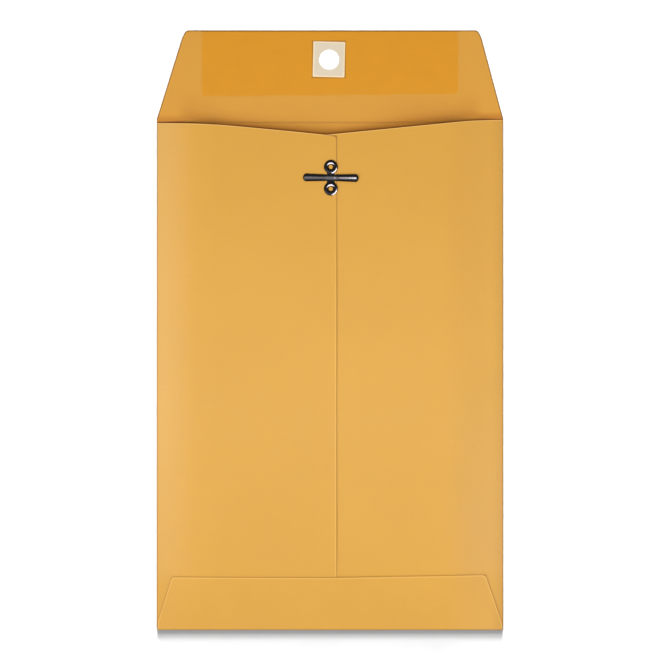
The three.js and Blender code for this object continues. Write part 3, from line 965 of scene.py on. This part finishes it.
def make_clasp_base():
    holes = [circle(0, y, EYELET_CREST_RADIUS + SEAT, EYELET_COUNT) for y in EYELET_PLACES]
    loops = [base_outline(), *holes]
    interior = base_interior()
    return sheet_piece("clasp_stamping", loops, interior, base_place, None, 0.03, METAL_ANGLE)


def make_turned(name, profile, count, angle):
    """The same turned shape at both eyelets, as one object."""
    points, faces = lathe(profile, count)
    places = [points + (CLASP_X, CLASP_Y + y, PANEL_TOP) for y in EYELET_PLACES]
    second = [tuple(k + len(points) for k in face) for face in faces]
    obj = new_object(name, np.concatenate(places), faces + second)
    shade_smooth(obj.data, angle)
    return obj


def make_punched_paper():
    """The disc of paper that stays in each eyelet when it is clinched through the panels."""
    profile = [(1.05, -0.30), (1.07, -0.02), (0.95, 0.1), (0.7, 0.17), (0.35, 0.2), (0.02, 0.21)]
    obj = make_turned("punched_paper", profile + [(0.02, -0.30)], 32, 60)
    points = points_of(obj.data) / MM
    keep_values(obj.data, "from_edge", np.full(len(points), FAR_FROM_EDGE))
    keep_values(obj.data, "on_blank", points)
    return obj


def past_widest(x):
    """How far into its rounded tip a place on the prong lies, from 0 to 1."""
    return np.clip((x - PRONG_REACH) / PRONG_TIP_REACH + 1, 0, 1)


def prong_half_width(x):
    """Half the prong's width, from its root to its round tip."""
    share = np.clip((x - PRONG_BEND) / (PRONG_REACH - PRONG_TIP_REACH - PRONG_BEND), 0, 1)
    blade = (PRONG_ROOT_WIDTH + (PRONG_TIP_WIDTH - PRONG_ROOT_WIDTH) * share) / 2
    return blade * np.sqrt(np.clip(1 - past_widest(x) ** 2, 0, 1))


def prong_height(x):
    """Height of the prong's back, low at the bend and the tip."""
    root = METAL + RIB_HEIGHT
    back = root + (PRONG_CROWN - root) * smooth((x - PRONG_BEND) / PRONG_RISE)
    return METAL + (back - METAL) * np.sqrt(np.clip(1 - past_widest(x) ** 2, 0, 1))


def prong_outline():
    widest = PRONG_REACH - PRONG_TIP_REACH
    blade = np.linspace(PRONG_START, widest, 50)
    tip = widest + PRONG_TIP_REACH * np.sin(np.linspace(0, np.pi / 2, 20)[1:])
    xs = np.concatenate([blade, tip])
    half = prong_half_width(xs)
    lower = np.column_stack([xs, -half])
    upper = np.column_stack([xs, half])[-2::-1]
    return np.concatenate([lower, upper])


def prong_interior():
    """Rows of points across the prong, closer together over its tip."""
    blade_end = PRONG_REACH - 2
    blade = np.linspace(PRONG_START, blade_end, 60)
    xs = np.concatenate([blade, np.linspace(blade_end, PRONG_REACH - 0.1, 20)[1:]])
    turns = np.linspace(0, np.pi, 27)[1:-1]
    rows = [(np.full(len(turns), x), prong_half_width(x) * np.cos(turns)) for x in xs]
    return np.concatenate([np.column_stack(row) for row in rows])


def prong_place(side):
    """Puts a prong on its side of the clasp, turned a little off the envelope's width."""
    def place(x, y, gap, upper):
        half = np.maximum(prong_half_width(x), 1e-3)
        height = prong_height(x)
        if upper:
            rim = METAL * PRONG_RIM_SHARE
            z = rim + (height - rim) * np.sqrt(np.clip(1 - (y / half) ** 2, 0, 1))
        else:
            hollow = np.sqrt(np.clip(1 - (y / np.maximum(half - METAL, 1e-3)) ** 2, 0, 1))
            z = np.maximum(height - METAL, 0) * hollow
        along, across = turned(x, y, PRONG_TURN)
        return on_clasp(side * along, side * across, SEAT + z)
    return place


def make_prong(name, side):
    loops = [prong_outline()]
    interior, place = prong_interior(), prong_place(side)
    return sheet_piece(name, loops, interior, place, None, 0.02, METAL_ANGLE)


# Materials

def new_material(name):
    material = bpy.data.materials.new(name)
    material.use_nodes = True
    tree = material.node_tree
    tree.nodes.clear()
    return material, tree


def add_node(tree, kind, inputs=None, **settings):
    """Adds a shader node. An input's value is a number, a colour or another node's output."""
    node = tree.nodes.new("ShaderNode" + kind)
    for key, value in settings.items():
        setattr(node, key, value)
    for key, value in (inputs or {}).items():
        if isinstance(value, bpy.types.NodeSocket):
            tree.links.new(value, node.inputs[key])
        else:
            node.inputs[key].default_value = value
    return node


def attribute(tree, name, output="Fac"):
    """What each point of the mesh keeps under a name: Fac for a number, Vector for a place."""
    return add_node(tree, "Attribute", attribute_name=name).outputs[output]


def noise(tree, coordinates, scale, detail=3.0, roughness=0.55):
    inputs = {"Vector": coordinates, "Scale": scale, "Detail": detail, "Roughness": roughness}
    return add_node(tree, "TexNoise", inputs).outputs["Fac"]


def streaks(tree, coordinates, scale, detail=3.0, roughness=0.55):
    """Noise that is wider one way than the other, with a scale for each of X, Y and Z."""
    scaled = add_node(tree, "Mapping", {"Vector": coordinates, "Scale": scale})
    return noise(tree, scaled.outputs["Vector"], 1.0, detail, roughness)


def remap(tree, value, low, high, to_low, to_high, interpolation="LINEAR"):
    """A value from to_low to to_high as another goes from low to high, and level beyond."""
    inputs = {
        "Value": value,
        "From Min": low,
        "From Max": high,
        "To Min": to_low,
        "To Max": to_high,
    }
    node = add_node(tree, "MapRange", inputs, interpolation_type=interpolation)
    return node.outputs["Result"]


def ease(tree, value, low, high, to_low, to_high):
    """As remap, with a smooth start and end."""
    return remap(tree, value, low, high, to_low, to_high, "SMOOTHSTEP")


def between(tree, pattern, low, high):
    """A value from low to high as a noise pattern goes over its usual range."""
    return remap(tree, pattern, 0.3, 0.7, low, high)


def maths(tree, operation, a, b):
    return add_node(tree, "Math", {0: a, 1: b}, operation=operation).outputs[0]


def times(tree, a, b):
    return maths(tree, "MULTIPLY", a, b)


def away(tree, value, middle):
    """How far a value lies from a middle, either way."""
    return maths(tree, "ABSOLUTE", maths(tree, "SUBTRACT", value, middle), 0.0)


def tint(tree, colour, factor):
    """A colour made lighter or darker by a factor that varies over the surface."""
    node = add_node(tree, "VectorMath", {0: colour, "Scale": factor}, operation="SCALE")
    return node.outputs["Vector"]


def mix(tree, factor, first, second):
    """One colour where the factor is 0, going over to another where it is 1."""
    node = add_node(tree, "Mix", {"Factor": factor}, data_type="RGBA")
    for socket, value in ((node.inputs[6], first), (node.inputs[7], second)):
        if isinstance(value, bpy.types.NodeSocket):
            tree.links.new(value, socket)
        else:
            socket.default_value = (*value, 1)
    return node.outputs[2]


def surface(tree, colour, roughness, height, distance, constants):
    """The shader of a material, with bump from a height in the same tree."""
    bump_inputs = {"Height": height, "Distance": distance, "Strength": 1.0}
    bump = add_node(tree, "Bump", bump_inputs)
    inputs = {"Base Color": colour, "Roughness": roughness, "Normal": bump.outputs["Normal"]}
    inputs.update(constants)
    shader = add_node(tree, "BsdfPrincipled", inputs)
    finish_tree(tree, "OutputMaterial", shader)


def finish_tree(tree, kind, shader):
    out = add_node(tree, kind)
    tree.links.new(shader.outputs[0], out.inputs[0])


def paper_grain(tree, blank):
    """Fibres across and along the sheet, and cloudy patches where the pulp lies thicker."""
    across = streaks(tree, blank, (4.0, 0.8, 1.0), 4.0)
    along = streaks(tree, blank, (0.9, 5.0, 1.0), 4.0)
    cloud = noise(tree, blank, 0.11, 3.0, 0.5)
    return maths(tree, "ADD", across, along), cloud


def fibre_tone(tree, fibres, low, high):
    """A brightness from low to high as the two noises of the fibres add up."""
    return remap(tree, fibres, 0.6, 1.4, low, high)


def blank_coordinates(tree):
    """Where a point of the sheet lies on the flat blank, in millimetres."""
    blank = attribute(tree, "on_blank", "Vector")
    parts = add_node(tree, "SeparateXYZ", {"Vector": blank}).outputs
    return blank, parts["X"], parts["Y"]


def kraft_tone(tree, blank):
    """Fibres, clouds and dark flecks of kraft paper, as a brightness about 1."""
    fibres, cloud = paper_grain(tree, blank)
    broad = noise(tree, blank, 0.022, 2.0, 0.4)
    fleck = streaks(tree, blank, (2.2, 1.4, 1.0), 5.0, 0.7)
    tone = fibre_tone(tree, fibres, 0.965, 1.035)
    tone = times(tree, tone, between(tree, cloud, 0.99, 1.01))
    tone = times(tree, tone, between(tree, broad, 0.985, 1.015))
    tone = times(tree, tone, ease(tree, fleck, 0.68, 0.78, 1.0, 0.9))
    return fibres, cloud, tone


def kraft_surface(tree, colour, cloud, height):
    surface(tree, colour, between(tree, cloud, 0.56, 0.66), height, FIBRE_DEPTH, PAPER_GLOSS)


def edge_shade_and_highlight(tree, colour, edge_colour, share, reach, inner_highlight=0.0):
    """A painted line in edge_colour along a cut edge, and a painted highlight just inside it."""
    gap = attribute(tree, "from_edge")
    rise = ease(tree, gap, 0.2, 0.45, 0.0, 1.0)
    fall = ease(tree, gap, 0.6, 1.1, inner_highlight, 0.0)
    # Painted highlight just inside the edge
    colour = mix(tree, times(tree, rise, fall), colour, KRAFT_INNER_HIGHLIGHT)
    # Painted line along the edge: shade or highlight, as edge_colour is
    return mix(tree, ease(tree, gap, 0.1, reach, share, 0.0), colour, edge_colour)


def warm_shade(tree, colour, bright, warm):
    """Darkens kraft as shade between its sheets does: blue goes first and red last."""
    red = times(tree, maths(tree, "POWER", bright, 0.65), remap(tree, warm, 0, 1, 1, 1.14))
    blue = times(tree, maths(tree, "POWER", bright, 1.9), remap(tree, warm, 0, 1, 1, 0.77))
    factor = add_node(tree, "CombineXYZ", {"X": red, "Y": bright, "Z": blue})
    inputs = {0: colour, 1: factor.outputs["Vector"]}
    node = add_node(tree, "VectorMath", inputs, operation="MULTIPLY")
    return node.outputs["Vector"]


def fold_shade_line(tree, colour, x, y):
    """A painted shade line where the sheet turns round its side and bottom folds."""
    side = ease(tree, away(tree, x, 0.0), FOLD_X - 0.5, FOLD_X, 0.0, 0.5)
    foot = ease(tree, y, BOTTOM_FOLD_Y, BOTTOM_FOLD_Y + 0.4, 0.3, 0.0)
    return mix(tree, maths(tree, "MAXIMUM", side, foot), colour, KRAFT_LINE_SHADE)


def kraft_with_sheen(tree, x, y):
    """The pocket's colour: paler halfway up, with a painted sheen beside its side folds."""
    off_middle = remap(tree, away(tree, y, PALEST_Y), 0.0, 130.0, 0.0, 1.0)
    colour = mix(tree, off_middle, KRAFT_MIDDLE, KRAFT_ENDS)
    # Painted sheen beside the left fold
    left = ease(tree, x, -81.0, -61.0, 1.0, 0.0)
    left = times(tree, left, remap(tree, off_middle, 0.0, 1.0, 1.0, 0.75))
    left = times(tree, left, remap(tree, y, -110.0, -35.0, 0.65, 1.0))
    left = times(tree, left, ease(tree, y, *SHEEN_END, 0.3, 1.0))
    colour = mix(tree, left, colour, KRAFT_SHEEN_LEFT)
    # Painted sheen beside the right fold
    right = ease(tree, x, 50.0, 72.0, 0.0, 0.55)
    right = times(tree, right, ease(tree, y, -100.0, -10.0, 1.0, 0.2))
    right = times(tree, right, ease(tree, y, *SHEEN_END, 0.5, 1.0))
    colour = mix(tree, right, colour, KRAFT_SHEEN_RIGHT)
    # Painted shade just inside the right fold
    return tint(tree, colour, ease(tree, x, 76.0, 82.0, 1.0, 0.9))


def body_kraft():
    """Kraft of the pocket, with painted highlights and painted shade lines along its edges."""
    material, tree = new_material("kraft_body")
    blank, x, y = blank_coordinates(tree)
    fibres, cloud, tone = kraft_tone(tree, blank)
    colour = tint(tree, kraft_with_sheen(tree, x, y), tone)
    # Painted highlight along the throat's edges, painted shade lines along the others, and a
    # painted highlight just inside the lower ones
    at_throat = remap(tree, y, CREASE_Y - 6.8, CREASE_Y - 6.5, 0.0, 1.0)
    edge_colour = mix(tree, at_throat, KRAFT_LINE_SHADE, KRAFT_THROAT_HIGHLIGHT)
    share = remap(tree, y, 30.0, CREASE_Y - 7, 0.5, 0.9)
    inner_highlight = remap(tree, y, 0.0, 70.0, 0.42, 0.0)
    colour = edge_shade_and_highlight(tree, colour, edge_colour, share, 0.45, inner_highlight)
    kraft_surface(tree, fold_shade_line(tree, colour, x, y), cloud, fibres)
    return material


def front_kraft():
    """Kraft of the front's inside and the flap, scored along the crease, with painted shade."""
    material, tree = new_material("kraft_front")
    blank, _, y = blank_coordinates(tree)
    fibres, cloud, tone = kraft_tone(tree, blank)
    off_score = away(tree, y, CREASE_Y - SCORE_DROP)
    score_and_shade = ease(tree, off_score, 0.1, SCORE_HALF_WIDTH, 1.0, 0.0)
    # Painted shade in the score's groove, which also dents the bump below
    tone = times(tree, tone, remap(tree, score_and_shade, 0.0, 1.0, 1.0, 0.8))
    colour = tint(tree, KRAFT_FLAP, tone)
    # Painted shade line along the flap's cut edges
    colour = edge_shade_and_highlight(tree, colour, KRAFT_EDGE_SHADE, 1.0, 0.75)
    # Painted shade beyond the pocket's lip
    bright = attribute(tree, "lip_shade")
    warm = attribute(tree, "lip_shade_warmth")
    height = maths(tree, "SUBTRACT", fibres, times(tree, score_and_shade, 5.0))
    kraft_surface(tree, warm_shade(tree, colour, bright, warm), cloud, height)
    return material


def cut_material():
    """The cut rim of the paper, with its fibres on end."""
    material, tree = new_material("kraft_cut_edge")
    grain = noise(tree, attribute(tree, "on_blank", "Vector"), 6.0, 4.0)
    colour = tint(tree, KRAFT_RIM, between(tree, grain, 0.85, 1.1))
    rough = between(tree, grain, 0.7, 0.85)
    surface(tree, colour, rough, grain, 2 * FIBRE_DEPTH, PAPER_GLOSS)
    return material


def off_patch(tree, x, y):
    """How far a place on the flap lies outside the patch, along X or Y."""
    off_x, off_y = PATCH_OFF_HOLE
    across = maths(tree, "SUBTRACT", away(tree, x, HOLE_X + off_x), PATCH_WIDTH / 2)
    along = maths(tree, "SUBTRACT", away(tree, y, HOLE_Y + off_y), PATCH_LENGTH / 2)
    return maths(tree, "MAXIMUM", across, along)


def gum_material():
    """Dried gum: a deeper, smoother brown with faint roller streaks, shaded round the patch."""
    material, tree = new_material("dried_gum")
    blank, x, y = blank_coordinates(tree)
    fibres, cloud = paper_grain(tree, blank)
    streak = streaks(tree, blank, (0.06, 0.9, 1.0))
    tone = fibre_tone(tree, fibres, 0.975, 1.025)
    tone = times(tree, tone, between(tree, streak, 0.985, 1.015))
    tone = times(tree, tone, between(tree, cloud, 0.985, 1.015))
    edge = ease(tree, attribute(tree, "from_edge"), 0.0, 1.1, 1.0, 0.0)
    colour = tint(tree, mix(tree, edge, GUM_BROWN, KRAFT_FLAP), tone)
    # Painted shade round the patch
    colour = tint(tree, colour, ease(tree, off_patch(tree, x, y), 0.25, 0.85, 0.66, 1.0))
    # Painted shade line along the gum's top edge
    top = ease(tree, y, TIP_Y - 0.95, TIP_Y - 0.35, 0.0, 0.9)
    colour = mix(tree, top, colour, GUM_EDGE_SHADE)
    height = maths(tree, "ADD", fibres, streak)
    rough = between(tree, streak, 0.38, 0.5)
    surface(tree, colour, rough, height, 0.6 * FIBRE_DEPTH, {"IOR": 1.47})
    return material


def patch_material():
    """Off-white reinforcing paper, with a painted highlight along its rim."""
    material, tree = new_material("patch_paper")
    fibres, cloud = paper_grain(tree, attribute(tree, "on_blank", "Vector"))
    tone = fibre_tone(tree, fibres, 0.97, 1.03)
    tone = times(tree, tone, between(tree, cloud, 0.98, 1.02))
    # Painted highlight along the rim
    edge = ease(tree, attribute(tree, "from_edge"), 0.4, 0.8, 1.0, 0.0)
    colour = mix(tree, edge, tint(tree, PATCH_PAPER, tone), PATCH_EDGE_HIGHLIGHT)
    surface(tree, colour, between(tree, cloud, 0.6, 0.72), fibres, FIBRE_DEPTH, PAPER_GLOSS)
    return material


def glue_material():
    """Dried paste between the layers."""
    material, tree = new_material("dried_paste")
    blank = attribute(tree, "on_blank", "Vector")
    streak = streaks(tree, blank, (0.4, 1.6, 1.0))
    colour = tint(tree, PASTE, between(tree, streak, 0.9, 1.06))
    rough = between(tree, streak, 0.5, 0.65)
    surface(tree, colour, rough, streak, 2 * FIBRE_DEPTH, PAPER_GLOSS)
    return material


def metal_material():
    """Dark plated steel, drawn and slightly scuffed."""
    material, tree = new_material("dark_plated_steel")
    place = add_node(tree, "TexCoord").outputs["Object"]
    drawn = streaks(tree, place, (900.0, 6000.0, 3000.0))
    scuff = noise(tree, place, 1800.0, 5.0, 0.65)
    colour = tint(tree, STEEL, between(tree, scuff, 0.85, 1.15))
    rough = remap(tree, scuff, 0.35, 0.7, 0.14, 0.22)
    constants = {"Metallic": 1.0, "Specular Tint": (0.1, 0.1, 0.1, 1)}
    surface(tree, colour, rough, drawn, 0.0000015, constants)
    return material


# Stage

def any_ray(tree, kinds):
    """1 for rays of these kinds, and 0 for all others."""
    light = add_node(tree, "LightPath")
    share = light.outputs[kinds[0]]
    for kind in kinds[1:]:
        share = maths(tree, "MAXIMUM", share, light.outputs[kind])
    return share


def make_floor():
    """A pale floor just under the envelope, which the camera and polished metal see as white."""
    reach, z = FLOOR_REACH, -FLOOR_GAP
    corners = [(-reach, -reach, z), (reach, -reach, z), (reach, reach, z), (-reach, reach, z)]
    floor = new_object("floor", corners, [(0, 1, 2, 3)])
    material, tree = new_material("floor_white")
    diffuse = add_node(tree, "BsdfDiffuse", {"Color": FLOOR_GREY})
    seen = any_ray(tree, ("Is Camera Ray", "Is Glossy Ray", "Is Transmission Ray"))
    strength = times(tree, seen, FLOOR_GLOW)
    glow = add_node(tree, "Emission", {"Strength": strength})
    both = add_node(tree, "AddShader", {0: diffuse.outputs[0], 1: glow.outputs[0]})
    finish_tree(tree, "OutputMaterial", both)
    floor.data.materials.append(material)
    return floor


def make_world(strength):
    """An even light from all round, which the camera sees as white."""
    world = bpy.data.worlds.new("studio")
    bpy.context.scene.world = world
    world.use_nodes = True
    tree = world.node_tree
    tree.nodes.clear()
    seen = any_ray(tree, ("Is Camera Ray", "Is Transmission Ray"))
    level = remap(tree, seen, 0.0, 1.0, strength, 1.0)
    back = add_node(tree, "Background", {"Strength": level})
    finish_tree(tree, "OutputWorld", back)


def aim(obj, place, target):
    """Turns a lamp or camera at one place towards another, both in metres."""
    obj.location = place
    towards = np.array(target, float) - np.array(place, float)
    towards /= np.linalg.norm(towards)
    turn = math.atan2(-towards[0], towards[1])
    tilt = math.acos(-towards[2])
    obj.rotation_euler = (tilt, 0, turn)


def make_lamp(name, kind, energy, place, target, settings):
    lamp = bpy.data.lights.new(name, kind)
    lamp.energy = energy
    for key, value in settings.items():
        setattr(lamp, key, value)
    obj = bpy.data.objects.new(name, lamp)
    bpy.context.scene.collection.objects.link(obj)
    aim(obj, place, target)
    obj.visible_camera = False
    return obj


def group(name, pieces):
    collection = bpy.data.collections.new(name)
    for piece in pieces:
        collection.objects.link(piece)
    return collection


def make_lights():
    make_world(WORLD_LEVEL)
    over = {"shape": "RECTANGLE", "size": 1.1, "size_y": 0.16}
    make_lamp("strip_over", "AREA", 1.0, (0.1, -0.05, 0.32), (0.1, -0.05, 0), over)
    side = {"angle": math.radians(30)}
    make_lamp("soft_left", "SUN", 1.0, (-0.75, -0.75, 0.8), (0, 0, 0), side)


def make_floor_lights(floor, pocket):
    """Two lights from behind that only throw the shadow of the pocket's folded bottom edge."""
    lit = group("floor_only", [floor])
    blockers = group("pocket_only", pocket)
    for name, strength, height, width in (("low", 43, 8, 16), ("high", 6.5, 22, 12)):
        place = (0, 1, math.tan(math.radians(height)))
        settings = {"angle": math.radians(width)}
        lamp = make_lamp("back_" + name, "SUN", strength, place, (0, 0, 0), settings)
        lamp.light_linking.receiver_collection = lit
        lamp.light_linking.blocker_collection = blockers


def make_clasp_lights(base, barrels, rib, prongs):
    """Small lamps close over the clasp, for the highlights on its polished metal.

    Each lamp's place and the spot it is aimed at are in metres from the middle of the clasp.
    """
    right_prong = group("right_prong_only", prongs[1:])
    rims = group("rims_only", [base])
    bores = group("bores_only", [barrels])
    bar = group("bar_only", [rib] + prongs)
    lamps = [
        ("over_right_tip", 0.08, (0.018, 0, 0.105), (0.018, 0), (0.012, 0.026), right_prong),
        ("over_right_prong", 0.05, (-0.006, 0, 0.105), (-0.006, 0), (0.045, 0.026), right_prong),
        ("over_bar", 0.14, (-0.0275, 0, 0.105), (-0.0275, 0), (0.155, 0.05), bar),
        ("low_right", 6.5, (0.108, -0.108, 0.13), (0, 0), (0.17, 0.17), rims),
        ("low_front", 14.0, (0.02, -0.15, 0.13), (0, 0), (0.32, 0.28), bores),
    ]
    for name, energy, (x, y, z), aimed, (width, depth), lit in lamps:
        place = (CLASP_X * MM + x, CLASP_Y * MM + y, z)
        target = (CLASP_X * MM + aimed[0], CLASP_Y * MM + aimed[1], CLASP_LAMP_AIM)
        settings = {"shape": "RECTANGLE", "size": width, "size_y": depth}
        lamp = make_lamp(name, "AREA", energy, place, target, settings)
        lamp.light_linking.receiver_collection = lit


def make_camera():
    camera = bpy.data.cameras.new("camera")
    camera.lens = LENS
    camera.sensor_width = SENSOR
    camera.sensor_fit = "HORIZONTAL"
    camera.clip_end = 100
    obj = bpy.data.objects.new("camera", camera)
    bpy.context.scene.collection.objects.link(obj)
    obj.location = (0, 0, FRAME_WIDTH * MM * LENS / SENSOR)
    bpy.context.scene.camera = obj


# Putting it together

def make_paper(kraft, kraft_flap, cut):
    front = make_front_and_flap()
    dress(front, kraft_flap, cut)
    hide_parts("front_panel", "flap_crease", "closure_flap")
    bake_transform(front)
    left = make_back_panel("kraft_back_left", -1, SEAM_X, left_under, seam_lift)
    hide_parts("back_panel_left")
    right = make_back_panel("kraft_back_right", 1, LAP_X, right_under, no_lift)
    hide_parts("back_panel_right")
    bottom = make_bottom_flap()
    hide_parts("bottom_flap")
    for piece in (left, right, bottom):
        dress(piece, kraft, cut)
        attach(piece, "envelope")
    return left, right, bottom


def make_glue():
    paste = glue_material()
    seam = make_seam_glue()
    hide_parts("center_seam_glue")
    left = make_bottom_glue("glue_bottom_left", -1, left_under)
    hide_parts("bottom_glue_left")
    right = make_bottom_glue("glue_bottom_right", 1, right_under)
    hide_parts("bottom_glue_right")
    for piece in (seam, left, right):
        dress(piece, paste)
        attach(piece, "envelope")


def make_flap_trim():
    gum = make_gum()
    dress(gum, gum_material())
    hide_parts("flap_gum")
    patch = make_patch()
    dress(patch, patch_material())
    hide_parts("flap_patch")
    for piece in (gum, patch):
        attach(piece, "flap")


def make_clasp(kraft):
    metal = metal_material()
    base = make_clasp_base()
    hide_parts("clasp_base")
    barrels = make_turned("eyelet_barrels", barrel_profile(), EYELET_COUNT, METAL_ANGLE)
    rib = make_rib()
    prongs = []
    for piece in (base, barrels, rib):
        dress(piece, metal)
        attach(piece, "envelope")
    paper = make_punched_paper()
    dress(paper, kraft)
    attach(paper, "envelope")
    for name, side in (("left", -1), ("right", 1)):
        prong = make_prong("prong_" + name + "_blade", side)
        dress(prong, metal)
        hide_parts("clasp_prong_" + name)
        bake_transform(prong)
        prongs.append(prong)
    return base, barrels, rib, prongs


def main():
    make_camera()
    kraft = body_kraft()
    pocket = make_paper(kraft, front_kraft(), cut_material())
    make_glue()
    make_flap_trim()
    clasp = make_clasp(kraft)
    make_lights()
    make_floor_lights(make_floor(), pocket)
    make_clasp_lights(*clasp)
    bpy.context.scene.view_settings.view_transform = "Standard"


main()
